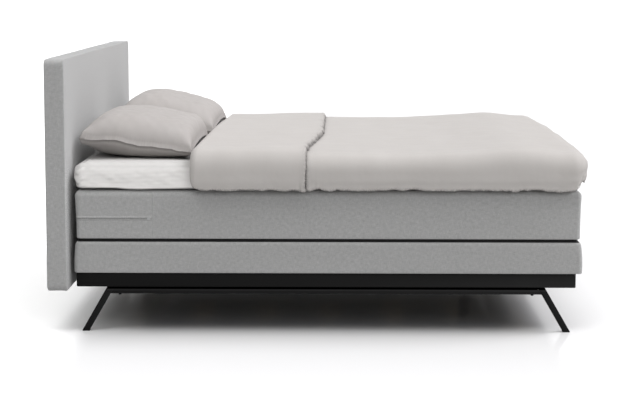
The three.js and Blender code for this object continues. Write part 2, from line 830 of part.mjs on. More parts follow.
function headboardCoverShape() {
  const outer = headboardLayer({
    thickness: headboardThickness,
    inset: 0,
    back: -headboardThickness,
    frontEdge: headboardEdge,
    backEdge: headboardEdge,
  });
  const hollow = headboardLayer({
    thickness: headboardThickness - 2 * headboardWall,
    inset: headboardWall,
    back: headboardWall - headboardThickness,
    frontEdge: headboardEdge - headboardWall,
    backEdge: headboardEdge - headboardWall,
  });
  const slotLength = headboardWidth - 2 * (headboardCornerRadius + coverSlot);
  const slot = block(coverSlot, slotLength, 2 * headboardWall, -headboardThickness / 2);
  return cut(outer, hollow, slot.translate(0, 0, -headboardWall / 2), ...studHoles(headboardWall));
}

function headboardFoamShape() {
  const inset = headboardWall + seatGap;
  const layer = headboardLayer({
    thickness: headboardFoam,
    inset,
    back: -inset - headboardFoam,
    frontEdge: headboardEdge - inset,
    backEdge: 0,
  });
  return cut(layer, ...studHoles(inset + headboardFoam + cutOverrun));
}

function headboardPanelShape() {
  const inset = headboardWall + seatGap;
  const front = inset + headboardFoam + seatGap;
  const layer = headboardLayer({
    thickness: headboardThickness - front - inset,
    inset,
    back: inset - headboardThickness,
    frontEdge: 0,
    backEdge: headboardEdge - inset,
  });
  return cut(layer, ...studHoles(studLength + seatGap));
}

// Channel bracket between headboard and box, with the stud welded to its headboard side.
// x = 0 is its headboard face, and the bolt hole is in its box side.
function bracketShape() {
  const bottom = -bracketHeight / 2;
  const outer = block(bracketDepth, bracketWidth, bracketHeight, bracketDepth / 2, 0, bottom);
  const channel = block(
    bracketDepth - 2 * bracketWall,
    bracketWidth,
    bracketHeight + 2 * cutOverrun,
    bracketDepth / 2,
    bracketWall,
    bottom - cutOverrun,
  );
  const hole = rod(boltDiameter + 2 * seatGap, bracketWall + 2 * cutOverrun).rotateY(Math.PI / 2);
  const stud = rod(studDiameter, studLength + bracketWall / 2).rotateY(-Math.PI / 2);
  const bracket = cut(outer, channel, hole.translate(bracketDepth - bracketWall - cutOverrun, 0, 0));
  return join(bracket, stud.translate(bracketWall / 2, 0, 0));
}

function headboard() {
  const group = new THREE.Group();
  group.position.set(-headboardGap, 0, headboardBottom);
  group.add(piece("headboard_cover", headboardCoverShape(), greyWeave()));
  group.add(piece("headboard_foam", headboardFoamShape(), foam()));
  group.add(piece("headboard_panel", headboardPanelShape(), timber()));
  const level = bracketLevel - headboardBottom;
  sides.forEach(({ name: side, sign }) => {
    const y = sign * halfOffset;
    const bracket = bracketShape();
    group.add(piece(`headboard_bracket_${side}`, bracket, blackSteel(), seatGap, y, level));
    const bolt = boltShape(boxBoltLength, boltHeadHeight).rotateY(Math.PI / 2);
    const boltX = seatGap + bracketDepth - bracketWall - seatGap;
    group.add(piece(`headboard_bolt_${side}`, bolt, zincSteel(), boltX, y, level));
  });
  return group;
}

function between(low, high, share) {
  return low + (high - low) * share;
}

function smooth(share) {
  const held = THREE.MathUtils.clamp(share, 0, 1);
  return held * held * (3 - 2 * held);
}

// How full an edge is at a distance from its rim: a quarter circle from 0 to 1.
function rounding(distance, reach) {
  const share = THREE.MathUtils.clamp(distance / reach, 0, 1);
  return Math.sqrt(1 - (1 - share) ** 2);
}

// The duvet as a sheet with thickness. Along is measured from the head fold and across from the
// middle of the bed, both over the sheet's surface, so they run on down the foot end and sides.
function duvetShape() {
  const flatFoot = bedLength + sheetSpread / 2 + duvetSideGap - duvetBend;
  const flatSide = bedWidth / 2 + sheetSpread / 2 + duvetSideGap - duvetBend;
  const bendLength = (duvetBend * Math.PI) / 2;
  const footHang = duvetFootDrop - duvetBend + bendLength;
  const sideHang = duvetSideDrop - duvetBend + bendLength;
  const flatLength = flatFoot - duvetNose;
  const hemSlope = Math.tan(THREE.MathUtils.degToRad(duvetHemTurnDegrees));
  const noseReach = duvetFoldThickness / 2;

  const noseShares = [0, 0.08, 0.3, 0.65, 1];
  const foldShares = [0.4, 0.7];
  const plainShares = [0.12, 0.3, 0.5, 0.68, 0.84, 1];
  const bendShares = [0.33, 0.67, 1];
  const rimShares = [0.8, 0.38, 0.12, 0];
  const middleShares = [0, 0.34, 0.66, 0.88, 1];
  const alongs = [
    ...noseShares.map((share) => share * noseReach),
    ...foldShares.map((share) => share * duvetFoldDepth),
    duvetFoldDepth - duvetHemGroove,
    duvetFoldDepth + duvetHemGroove,
    ...plainShares.map((share) => between(duvetFoldDepth + duvetHemGroove, flatLength, share)),
    ...bendShares.map((share) => flatLength + share * bendLength),
    ...rimShares.map((share) => flatLength + footHang - share * duvetRim),
  ];
  const outward = [
    ...middleShares.map((share) => share * flatSide),
    ...bendShares.map((share) => flatSide + share * bendLength),
    ...rimShares.map((share) => flatSide + sideHang - share * duvetRim),
  ];
  const acrosses = [...outward.slice(1).reverse().map((across) => -across), ...outward];

  const thicknessAt = (along, sideways, footwards, level) => {
    const folded = along < duvetFoldDepth;
    const run = THREE.MathUtils.clamp((along - duvetFoldDepth) / (flatLength - duvetFoldDepth), 0, 1);
    const start = smooth(run / duvetPuffStartShare);
    const puff = duvetFootPuff * Math.sin(Math.PI * run ** duvetPuffPower) ** 2 * start;
    const crown = duvetCrown * (1 - level ** 2);
    const top = (folded ? duvetFoldThickness : duvetThickness + puff) + crown;
    const side = folded ? duvetFoldSideThickness : duvetSideThickness;
    const hanging = between(top, side, smooth(sideways / bendLength));
    return between(hanging, duvetFootThickness, smooth(footwards / bendLength));
  };

  return sheetBody(alongs.length, acrosses.length, (row, column, face) => {
    const along = alongs[row];
    const across = acrosses[column];
    const sign = Math.sign(across);
    const sideways = Math.max(0, Math.abs(across) - flatSide);
    const footwards = Math.max(0, along - flatLength);
    const spread = (sideways ** duvetCornerPower + footwards ** duvetCornerPower) ** (1 / duvetCornerPower);
    const cornerShare = (sideways / sideHang) * (footwards / footHang);
    const hang = spread * (1 - duvetCornerRiseShare * cornerShare);
    const angle = Math.min(hang / duvetBend, Math.PI / 2);
    const below = Math.max(0, hang - bendLength);
    const level = Math.min(1, Math.abs(across) / flatSide);
    const thickness = thicknessAt(along, sideways, footwards, level);
    const fullness =
      rounding(along, noseReach) *
      rounding(flatSide + sideHang - Math.abs(across), duvetRim) *
      rounding(flatLength + footHang - along, duvetRim);
    const lift = (thickness / 2) * (1 + face * fullness);
    const reach = (duvetBend + lift) * Math.sin(angle);
    const turn = Math.hypot(sideways, footwards) || 1;
    const flatY = sign * Math.min(Math.abs(across), flatSide);
    const askewShare = THREE.MathUtils.clamp(along / duvetFoldDepth, 0, 1);
    const footShare = THREE.MathUtils.clamp((along - duvetFoldDepth) / (flatLength - duvetFoldDepth), 0, 1);
    const slope = between(between(beddingSlope, hemSlope, askewShare), 0, footShare);
    const y = flatY + (sign * reach * sideways) / turn;
    const flatX = duvetNose + Math.min(along, flatLength);
    const x = flatX + (reach * footwards) / turn + slope * y;
    const z = sheetTop + seatGap - duvetBend + (duvetBend + lift) * Math.cos(angle) - below;
    return [x, y, z];
  });
}

// A pillow about its middle in plan, with its seam as the rim. Its seam slopes down to the foot
// end, and its underside is flat where it rests on the sheet.
function pillowShape(rest) {
  const rowCount = 17;
  const columnCount = 19;
  const seamSlope = (pillowFootSeam - pillowHeadSeam) / pillowLength;
  const seamMiddle = (pillowHeadSeam + pillowFootSeam) / 2;
  return sheetBody(rowCount, columnCount, (row, column, face) => {
    const u = Math.sin(((2 * row) / (rowCount - 1) - 1) * (Math.PI / 2));
    const v = Math.sin(((2 * column) / (columnCount - 1) - 1) * (Math.PI / 2));
    const fullness = Math.sqrt((1 - u ** 2) * (1 - v ** 2));
    const x = u * (pillowLength / 2 - pillowDrawIn * (1 - v ** 2) * u ** 2);
    const y = v * (pillowWidth / 2 - pillowDrawIn * (1 - u ** 2) * v ** 2);
    const swell = face > 0 ? pillowCrown * fullness : -pillowBelly * fullness;
    const z = seamMiddle + seamSlope * x + (face === 0 ? 0 : swell);
    return [x, y, rest + Math.max(seatGap, z)];
  });
}

function bedding() {
  const group = new THREE.Group();
  group.add(piece("duvet", duvetShape(), greigeCotton()));
  sides.forEach(({ name: side, sign }) => {
    const y = sign * halfOffset;
    const x = pillowHead + pillowLength / 2 + beddingSlope * y;
    const pillow = piece(`pillow_${side}`, pillowShape(sheetTop), greigeCotton(), x, y);
    pillow.rotation.z = -THREE.MathUtils.degToRad(beddingTurnDegrees);
    group.add(pillow);
  });
  return group;
}

// The part's origin is on the floor, in the middle of its length and width.
const headEnd = -headboardGap - headboardThickness;
const footEnd = bedLength + duvetFootReach;
const bed = new THREE.Group();
bed.position.x = -(headEnd + footEnd) / 2;
bed.add(legFrame(), plinth(), boxes(), mattresses(), topper(), headboard(), bedding());

const boxSpringBed = new THREE.Group();
boxSpringBed.name = "box_spring_bed";
boxSpringBed.add(bed);

export default boxSpringBed;
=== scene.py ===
import contextlib
import json
import math

import bmesh
import bpy
import numpy as np
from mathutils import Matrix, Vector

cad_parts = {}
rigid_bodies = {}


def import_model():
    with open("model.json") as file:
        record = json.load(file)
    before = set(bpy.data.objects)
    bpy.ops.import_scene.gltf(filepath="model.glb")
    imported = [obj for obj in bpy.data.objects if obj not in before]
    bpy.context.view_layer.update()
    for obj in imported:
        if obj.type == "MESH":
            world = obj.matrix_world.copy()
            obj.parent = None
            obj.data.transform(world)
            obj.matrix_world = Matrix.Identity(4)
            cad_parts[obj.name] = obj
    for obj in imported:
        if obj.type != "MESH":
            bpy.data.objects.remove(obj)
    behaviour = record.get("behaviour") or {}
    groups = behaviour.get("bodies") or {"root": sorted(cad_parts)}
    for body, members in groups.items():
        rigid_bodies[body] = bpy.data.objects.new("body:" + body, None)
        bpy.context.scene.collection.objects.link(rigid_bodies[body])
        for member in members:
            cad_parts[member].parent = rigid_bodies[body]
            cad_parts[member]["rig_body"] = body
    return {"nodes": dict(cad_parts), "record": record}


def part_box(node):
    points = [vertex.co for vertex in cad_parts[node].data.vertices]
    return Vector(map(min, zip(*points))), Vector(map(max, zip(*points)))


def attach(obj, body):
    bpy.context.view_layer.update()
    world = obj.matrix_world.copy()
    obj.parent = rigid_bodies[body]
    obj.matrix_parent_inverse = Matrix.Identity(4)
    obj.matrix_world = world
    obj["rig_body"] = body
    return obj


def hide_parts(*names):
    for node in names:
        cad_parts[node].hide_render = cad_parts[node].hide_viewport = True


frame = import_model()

scene = bpy.context.scene
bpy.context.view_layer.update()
quarter_turn = math.pi / 2
half_turn = math.pi
full_turn = 2 * math.pi
millimetre = 0.001
close_by = 0.0001


def extent(node):
    """Lowest and highest corner of a node, as arrays."""
    low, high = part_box(node)
    return np.array(low), np.array(high)


box_low, box_high = extent("box_cover_near")
mattress_low, mattress_high = extent("mattress_cover_near")
sheet_low, sheet_high = extent("fitted_sheet")
topper_low, topper_high = extent("topper")
headboard_low, headboard_high = extent("headboard_cover")
duvet_low = extent("duvet")[0]
half_width = box_high[1] - box_low[1]
bed_middle_x = (mattress_low[0] + mattress_high[0]) / 2
box_middle_y = abs(box_low[1] + box_high[1]) / 2

# Camera, fitted to the picture's frame of 631 x 400
image_width_px = 631
focal_px = 1566.2
camera_place = (0.0862, -7.0370, 1.3978)
camera_pitch_degrees = 5.675
camera_yaw_degrees = 0.891
camera_shift_y = -0.10
sensor_width_mm = 36

# Light levels
sky_low_strength = 0.13
sky_high_strength = 0.68
suns = {
    "top_sun": {"strength": 0.22, "angle": 60, "elevation": 62, "heading": 172},
    "key_sun": {"strength": 0.62, "angle": 26, "elevation": 63, "heading": -25},
    "foot_sun": {
        "strength": 1.74, "angle": 36, "elevation": 50, "heading": 92, "colour": (1.01, 1.0, 1.03),
    },
    "front_sun": {"strength": 0.70, "angle": 36, "elevation": 22, "heading": 34},
}
floor_camera_colour = (0.95, 0.95, 0.95, 1)
floor_painted_light_colour = (1.6, 1.6, 1.6, 1)  # painted light beyond the headboard, where it screens the light off
floor_head_gain_reach = (0.20, 0.27)
floor_painted_shade_colour = (0.31, 0.315, 0.33, 1)  # painted shade under the bed, deepening its shadow there
floor_under_head = (-0.92, -0.62)  # along the bed: the painted shade begins and is full
floor_under_foot = (1.15, 0.65)
floor_under_side = (0.98, 0.68)
floor_gloss = 0.055
floor_roughness = 0.12
floor_bounce_colour = (0.50, 0.50, 0.50, 1)
floor_reach = 400

# Finishes. Two tones are the least and the most that a colour is multiplied by from place to place
weave_light = (0.505, 0.505, 0.500, 1)
weave_dark = (0.325, 0.325, 0.322, 1)
weave_pitch = 0.0017
weave_depth = 0.0005
weave_yarn_contrast = (-0.35, 1.35)
weave_mottle_scale = 75.0
weave_mottle_tones = (0.79, 1.21)
# painted shade: a weave's lower threads darker, its raised ones lighter
weave_painted_shade_tones = (0.86, 1.06)
yarn_streak_share = 0.09  # how much less a yarn's colour changes along it than across it
cotton_pitch = 0.0006
cotton_cloud_scale = 9.0
cotton_cloud_contrast = (-0.4, 1.4)
cotton_painted_shade_tones = (0.96, 1.02)
cotton_crease_size = 0.09
fine_crease_ratio = 4.0
fine_crease_share = 0.3
cotton_under_facing = (-0.10, -0.65)  # upward part of the normal where cloth facing down gets painted shade
cotton_under_painted_shade = 0.70
cotton_over_facing = (0.10, 0.75)  # and where cloth facing up gets painted shade: from, and fully at
duvet_under_painted_light = 1.35  # painted light on the duvet where it faces down, for the floor's light on its hem
# painted shade on the sheet where it faces up
sheet_over_painted_shade = 0.68
gather_reach = 0.006
gather_scale = 90.0
gather_sharpness = 9.0
# painted shade in the gathers' creases and along their seam
gather_crease_painted_shade = 0.55
gather_seam_painted_shade = 0.30
gather_full = 0.008  # height of the gathers at which their painted shade is full
felt_grain_height = 0.0008
black_gloss = 0.15
black_cloud_scale = 11.0
black_cloud_tones = (0.8, 1.25)
black_roughness_spread = (-0.06, 0.08)
rail_painted_highlight_line = (0.166, 0.1705)  # a painted highlight line on the rails, with painted shade above it for their gap
painted_highlight_gain = 3.4
painted_highlight_blur = 0.002

# Cloth that isn't quite flat: each wave is its height, its length and its seed
swell_slant = 3  # how much of y a swell's places take in, and how much of the height
swell_climb = 2
headboard_swell_climb = 3
box_swell = {"near": (0.0012, 0.45, 11), "far": (0.0012, 0.45, 12)}
dust_cloth_sag = (0.0003, 0.12, 31)
mattress_swell = {"near": (0.0014, 0.40, 21), "far": (0.0014, 0.40, 22)}
headboard_swell = (0.0008, 0.30, 41)
headboard_front_swell = (0.0002, 0.50, 42)
sheet_broad_crease = (0.0030, 0.17, 51)
sheet_fine_crease = (0.0010, 0.06, 52)
sheet_hem_rise = (0.5, 0.26, 53)  # its height is a share of sheet_rise
sheet_top_crease = (0.0009, 0.16, 54)
duvet_hem_wave = (0.0040, 0.50, 61)
duvet_corner_crumple = (0.0030, 0.05, 73)
duvet_broad_puff = (0.0020, 0.33, 74)
duvet_fine_puff = (0.0008, 0.12, 75)
duvet_hang_wave = (0.0030, 0.35, 76)
duvet_hang_ripple = (0.0018, 0.07, 77)
duvet_scallop = (0.0042, 0.045, 78)
duvet_fine_scallop = (0.0022, 0.030, 82)
duvet_ragged_hem = (0.0050, 0.075, 79)
duvet_fine_ragged_hem = (0.0022, 0.030, 80)

# Upholstery
row_step = 0.012
run_step = 0.020
face_ring_shares = (0.985, 0.96, 0.92, 0.86, 0.78, 0.68, 0.56, 0.42, 0.28, 0.14, 0.0)
deepest_inset_share = 0.94
mattress_corner = 0.018
mattress_lean = 0.006  # how much further out the ends stand at the top
mattress_lean_start = 0.1
mattress_top_edge = (0.020, 0.022)  # how far in and how far down an edge is rounded
mattress_bottom_edge = (0.004, 0.004)
mattress_recess = (0.034, 0.0095)  # depth and height of the gap that the lower seam leaves
box_corner = 0.018
box_top_edge = (0.017, 0.016)
box_bottom_edge = (0.004, 0.003)
box_turn_under = 0.045
box_flare = 0.003
box_end_belly = 1.2
cover_thickness = 0.002
painted_gap_shade_edge = 0.0045  # how far below the box's top its black cloth ends, painted shade for the gap under the mattress
placket_end = 0.302  # mattress's head end to the placket's end and the cover's upright seam
placket_lip = 0.0922  # mattress's underside to the lower edge of the placket's lip
placket_proud = 0.0030
placket_sunk = 0.0028
placket_step = 0.0012
placket_end_reach = 0.003
lip_reach = 0.009
sunk_reach = 0.007
stitch_drop = 0.011
stitch_depth = 0.0017
stitch_width = 0.0014
seam_step = 0.0015
seam_place = 0.001  # past the placket's end
seam_depth = 0.0012
seam_width = 0.0016
seam_ridge = 0.0006
seam_ridge_place = 0.006
seam_ridge_width = 0.003
side_turn = (0.1, 0.5)  # how far a normal is turned to the side where the placket starts, and its reach
box_inset = 0.0008
mattress_inset = 0.0016
headboard_inset = 0.0008
headboard_crown = 0.0012
headboard_crown_reach = 0.05
headboard_front_inset = 0.0003
headboard_corner = 0.026
layer_clearance = 0.002
headboard_edge = (0.007, 0.007)
dust_cloth_tuck = 0.008
dust_cloth_rise = 0.0034
dust_cloth_step = 0.03
dust_cloth_thickness = 0.0005

# Topper and fitted sheet
topper_corner = 0.032
sheet_top_edge = (0.036, 0.030)
sheet_bottom_edge = (0.006, 0.007)
foam_low_edge = (0.020, 0.010)
foam_undercut = (0.034, 0.032)  # how far in and how far up the foam is cut away under the hem
foam_edge_lift = 0.0115  # how much higher the foam's underside lies where the hem is turned in below it
foam_lift_reach = (0.120, 0.080)  # from the foam's edge inwards: the lift begins and is full
foam_lift_height = 0.050
foam_inset = 0.004
foam_shrink = 0.0015
sheet_turn_under = 0.070
sheet_thickness = 0.0012
sheet_inset = 0.0012
sheet_clearance = 0.0006
sheet_rise = 0.010
sheet_mean_rise_share = 0.9
sheet_rise_height = 0.022
sheet_tuck_share = 0.65  # how far up the tuck reaches
sheet_tuck_power = 1.5
sheet_belly_power = 1.3
sheet_belly = 0.006
sheet_low_tuck = 0.002
sheet_low_inset = 0.001
sheet_broad_slant = (1.7, 2.6)  # how much of y and of the height a crease's places take in
sheet_fine_slant = (1.7, 2.5)
sheet_hem_slant = 1.3
sheet_corner_fold = 0.0028
sheet_corner_fold_pitch = 0.034
sheet_corner_fold_slant = 0.8
sheet_corner_reach = 0.09
sheet_top_ripple = 0.0016
sheet_top_ripple_pitch = 0.05
sheet_top_ripple_reach = 0.14
sheet_top_depth = 0.012

# Duvet
duvet_layer = 0.036
duvet_fold_layer = 0.029
duvet_crown = 0.007
duvet_foot_puff = 0.024
duvet_side_layer = 0.036
duvet_fold_side_layer = 0.0205
duvet_far_thinning = 0.007  # how much thinner the folded part is at its far side
duvet_foot_layer = 0.020
duvet_side_drop = 0.107
duvet_foot_drop = 0.080
duvet_side_gap = 0.005
duvet_foot_gap = 0.002
duvet_bend = 0.030
duvet_fold_depth = 0.467
duvet_flange = 0.006
duvet_flange_thickness = 0.0016
duvet_rim = 0.040
duvet_end_rim = 0.012
duvet_layer_gap = 0.001
nose_slope = math.tan(math.radians(1))
hem_near_setback = 0.026
hem_sweep = 0.060
hem_sweep_reach = 0.80
fold_corner_lift = 0.13
fold_corner_reach = 0.032
foot_corner_radius = 0.085  # the duvet's two corners at the foot, rounded
corner_rise_share = 0.3
corner_power = 2.8
duvet_foot_start_share = 0.12  # of the bend: where the foot layer starts to thin
duvet_foot_full_share = 0.35  # how much of the foot's puff is still there at the foot's edge
duvet_foot_full_start = 0.86
duvet_fold_thinning_share = 0.4  # how much less the far side is thinned at the hem
duvet_hem_step = (-0.012, 0.018)  # where the lower layer thickens past the hem: start and reach
duvet_curl_share = 0.4  # how much of the folded layer curls up at its end
duvet_rest = 0.0004  # the duvet's least height over the sheet
gather_strength = (0.55, 0.60, 0.42)  # how strong gathers are: mean, how much it varies, over what length
gather_strength_ends = (0.1, 1.3)
gather_fine_share = 0.5
gather_fine_ratio = 2.2
duvet_side_gathers = (62, 0.038, 0.024)  # gathers: their seed, their pitch and their reach
duvet_foot_gathers = (66, 0.038, 0.024)
duvet_hem_gathers = (70, 0.040, 0.014)
duvet_gather_height = 0.0026
duvet_gather_rim = 0.012  # the seam's own width, where the gathers begin
duvet_puff_rim = 0.120
duvet_hem_gather_gain = 1.6
duvet_side_gather_gain = 1.5  # how much stronger the side gathers are by the hem and by the foot
duvet_side_gather_hem_reach = 0.08
duvet_side_gather_foot_reach = 0.10
duvet_crumple_reach = 0.120
duvet_scallop_reach = 0.016
duvet_scallop_foot = (0.02, 0.08)  # how far from the foot the scallops begin, and their reach
duvet_ragged_reach = 0.018
duvet_flange_wave_reach = 0.02
duvet_flange_corner_reach = 0.08
duvet_flange_wave_height = 0.0020
duvet_underside_share = 0.15  # how much of the upper face's gathers the lower face has
duvet_across_steps = (0.0065, 0.0035, 0.075)  # in the middle, by the sides, and how near them
duvet_flap_steps = (0.017, 0.0025, 0.040)
duvet_hem_rows = (-0.012, 0.050, 0.003)  # from, to and step, from the line of the folded part's hem
duvet_covered_step = 0.035
duvet_shown_step = 0.014
duvet_foot_rows = (0.068, 0.004)  # how near the foot seam, and their step
duvet_turn_rows = 13

# Pillows
pillow_length = 0.462
pillow_width = 0.672
pillow_belly = 0.095
pillow_seam_height = 0.060
pillow_tilt = math.radians(8.2)
pillow_turn = math.radians(1)
pillow_foot_bow = 0.028  # how much the foot seam lies higher in its middle
pillow_bow_start = -0.2
pillow_shapes = {
    "near": {
        "crown": 0.119, "head_power": 6.5, "foot_power": 9, "fall": 0.08, "fall_start": 0.1, "seed": 81,
    },
    "far": {
        "crown": 0.125, "head_power": 7.5, "foot_power": 6, "fall": 0.20, "fall_start": -0.4, "seed": 91,
    },
}
pillow_flange = 0.007
pillow_flange_thickness = 0.0014
pillow_rows = 84
pillow_columns = 120
pillow_broad_crease = (0.0030, 0.30)  # a crease's height and length
pillow_fine_crease = (0.0012, 0.11)
pillow_seam_crease = (0.0015, 0.05)
pillow_gathers = (0.026, 0.007)  # their pitch and their reach
pillow_gather_height = 0.0016
pillow_underside_share = 0.3  # how much of the upper face's gathers and creases the lower face has
pillow_head_hollow_share = 0.030  # how far a seam is drawn in between its corners
pillow_foot_hollow_share = 0.012
pillow_side_hollow_share = 0.020
pillow_hollow_power = 8
pillow_ear_drop = 0.012
pillow_head_blunt = 0.034  # how much fuller the corners are
pillow_foot_blunt = 0.020
pillow_blunt_reach = 0.010
pillow_wave_height = 0.011
pillow_wave_shares = (0.85, 0.90)  # of half the length: the wave's own length and its reach
pillow_corner_power = 6
pillow_ear_power = 24
pillow_side_power = 4.2
pillow_belly_power = 3
pillow_crease_rim = 0.10
pillow_gather_rim = 0.008
pillow_end_gathers = (1.4, 0.6)  # how much stronger gathers get at the ends, and from where on
pillow_rest = 0.0012  # the pillow's least height over the sheet
pillow_rest_softness = 0.010


# Numbers over whole arrays

def smooth(share):
    """Eases from 0 to 1 as share goes from 0 to 1: three times its square less twice its cube."""
    held = np.clip(share, 0, 1)
    return held * held * (3 - 2 * held)


def between(low, high, share):
    """The value at a share of the way from low to high."""
    return low + (high - low) * share


def bell(distance, reach):
    """1 at no distance, and dying out on both sides: e to minus the square of distance over reach."""
    return np.exp(-((distance / reach) ** 2))


def fading(distance, reach):
    """1 at no distance, and dying out with it: e to minus distance over reach."""
    return np.exp(-distance / reach)


def uneven(x, y, scale, seed, count=9):
    """Smooth unevenness of about -1 to 1: a sum of sine waves of about one length, scale, that run
    in set random directions with set random phases."""
    random = np.random.default_rng(seed)
    total = np.zeros(np.broadcast(x, y).shape)
    for _ in range(count):
        heading = random.uniform(0, full_turn)
        length = scale * random.uniform(0.65, 1.6)
        phase = random.uniform(0, full_turn)
        total += np.sin((x * math.cos(heading) + y * math.sin(heading)) * full_turn / length + phase)
    return total / math.sqrt(2 * count)


def waving(x, y, wave):
    """Unevenness over x and y by a wave's height, length and seed."""
    height, length, seed = wave
    return height * uneven(x, y, length, seed)


def spaced(start, end, coarse, fine=None, reach=0.0):
    """Places from start to end, fine apart within reach of both ends and coarse between them."""
    if fine is None:
        return np.linspace(start, end, max(2, math.ceil(abs(end - start) / coarse) + 1))
    first = spaced(start, start + reach, fine)
    middle = spaced(start + reach, end - reach, coarse)
    last = spaced(end - reach, end, fine)
    return np.concatenate([first, middle[1:-1], last])


# Meshes

def make_mesh(name, points, faces, loop_uv=None, seam_distance=None):
    """A smooth-shaded mesh object from n x 3 points and m x 4 quads, with a UV in metres per corner,
    and where it is given each point's distance from the nearest seam."""
    points = np.asarray(points, np.float32).reshape(-1, 3)
    faces = np.asarray(faces, np.int32).reshape(-1, 4)
    mesh = bpy.data.meshes.new(name)
    mesh.vertices.add(len(points))
    mesh.vertices.foreach_set("co", points.ravel())
    mesh.loops.add(faces.size)
    mesh.loops.foreach_set("vertex_index", faces.ravel())
    mesh.polygons.add(len(faces))
    mesh.polygons.foreach_set("loop_start", np.arange(0, faces.size, 4, dtype=np.int32))
    mesh.update(calc_edges=True)
    if loop_uv is not None:
        layer = mesh.uv_layers.new(name="UVMap")
        layer.data.foreach_set("uv", np.asarray(loop_uv, np.float32).ravel())
    if seam_distance is not None:
        layer = mesh.attributes.new("seam_distance", "FLOAT", "POINT")
        layer.data.foreach_set("value", np.asarray(seam_distance, np.float32).ravel())
    mesh.polygons.foreach_set("use_smooth", np.ones(len(faces), bool))
    thing = bpy.data.objects.new(name, mesh)
    scene.collection.objects.link(thing)
    return thing


@contextlib.contextmanager
def edited(thing):
    """The mesh of an object, open to be edited."""
    edit = bmesh.new()
    edit.from_mesh(thing.data)
    yield edit
    edit.to_mesh(thing.data)
    edit.free()
    thing.data.update()


def close_poles(thing, distance=close_by):
    """Merges the points that meet at a pole or a rim."""
    with edited(thing) as edit:
        bmesh.ops.remove_doubles(edit, verts=edit.verts, dist=distance)
        bmesh.ops.dissolve_degenerate(edit, edges=edit.edges, dist=distance / 2)


def turn_outwards(thing):
    """Turns the faces of a closed mesh so that they face outward."""
    with edited(thing) as edit:
        bmesh.ops.recalc_face_normals(edit, faces=edit.faces)


def two_faced(name, layers, flat, lower_uv, seam_distance, merge):
    """One closed mesh of an upper and a lower grid that meet at their rims. flat gives the places on
    the cloth laid flat, and the lower layer's lie lower_uv further."""
    rows, columns = seam_distance.shape
    points = np.concatenate([layer.reshape(-1, 3) for layer in layers])
    upper_faces = quads(rows, columns)
    faces = np.concatenate([upper_faces, upper_faces[:, ::-1] + rows * columns])
    flat = flat.reshape(-1, 2)
    uv = np.concatenate([flat, flat + lower_uv])
    thing = make_mesh(name, points, faces, uv[faces], np.concatenate([seam_distance] * 2))
    close_poles(thing, merge)
    turn_outwards(thing)
    return thing


def add_wall(thing, thickness):
    """Gives a surface its thickness, inwards from where it lies."""
    wall = thing.modifiers.new("wall", "SOLIDIFY")
    wall.thickness = thickness
    wall.offset = -1


def quads(rows, columns, closed=False):
    """Corner numbers of the quads of a grid, facing the side from which rows x columns turns left."""
    row = np.arange(rows - 1)[:, None]
    column = np.arange(columns if closed else columns - 1)[None, :]
    after = (column + 1) % columns
    corners = [row * columns + column, row * columns + after]
    corners += [(row + 1) * columns + after, (row + 1) * columns + column]
    return np.stack([np.broadcast_to(c, (rows - 1, column.size)) for c in corners], -1).reshape(-1, 4)


def outline_at(run, length, width, corner):
    """Places and outward normals on a rounded rectangle, by the distance run anticlockwise from
    the start of its -y side. Each half is a straight, a quarter circle, a straight and a quarter
    circle, and the second half is the first turned by half a turn."""
    straight_x = length - 2 * corner
    straight_y = width - 2 * corner
    bend = corner * quarter_turn
    half = straight_x + straight_y + 2 * bend
    sign = np.where(run % (2 * half) >= half, -1, 1)
    left = run % half
    first = np.clip(left, 0, straight_x)
    turn = np.clip((left - straight_x) / corner, 0, quarter_turn)
    second = np.clip(left - straight_x - bend, 0, straight_y)
    turn = turn + np.clip((left - straight_x - bend - straight_y) / corner, 0, quarter_turn)
    x = first - straight_x / 2 + corner * np.sin(turn)
    y = second - straight_y / 2 - corner * np.cos(turn)
    return sign * x, sign * y, sign * np.sin(turn), -sign * np.cos(turn)


def outline_runs(length, width, corner, step, corner_steps=8, extra=()):
    """Distances along the outline, step apart on the straights, with more at the corners."""
    bend = corner * quarter_turn
    runs = [np.array(extra, float)]
    start = 0.0
    for straight in (length - 2 * corner, width - 2 * corner) * 2:
        runs.append(spaced(start, start + straight, step))
        runs.append(np.linspace(start + straight, start + straight + bend, corner_steps + 1))
        start += straight + bend
    kept = np.unique(np.round(np.concatenate(runs), 6))
    return kept[kept < start - millimetre / 100], start


def edge_profile(height, low_edge, high_edge, rows, steps=7, recess=None):
    """Inset and level of each ring of a slab's side: an elliptic lower edge, the side at the given
    rows, and an elliptic upper edge. A recess, given as its depth and height, lies below the edge."""
    turn = np.linspace(0, quarter_turn, steps + 1)
    low = [low_edge[0] * (1 - np.sin(turn)), low_edge[1] * (1 - np.cos(turn))]
    if recess:
        low = [
            np.concatenate([[recess[0], recess[0]], low[0]]),
            np.concatenate([[0, recess[1] / 2], low[1] + recess[1]]),
        ]
    high = [high_edge[0] * (1 - np.cos(turn)), height - high_edge[1] * (1 - np.sin(turn))]
    rows = rows[(rows > low[1][-1] + millimetre) & (rows < height - high_edge[1] - millimetre)]
    inset = np.concatenate([low[0], np.zeros(len(rows)), high[0]])
    level = np.concatenate([low[1], rows, high[1]])
    return inset, level


def face_rings(rim, middle_x, middle_y, shares):
    """Rings of a flat face: each point of the rim drawn to the middle line, by shares that are 1 at
    the rim and 0 at the line."""
    ring_x = middle_x + shares[:, None] * (rim[:, 0] - middle_x)
    ring_y = middle_y + shares[:, None] * (rim[:, 1] - middle_y)
    return np.stack([ring_x, ring_y, np.full(ring_x.shape, rim[0, 2])], -1)


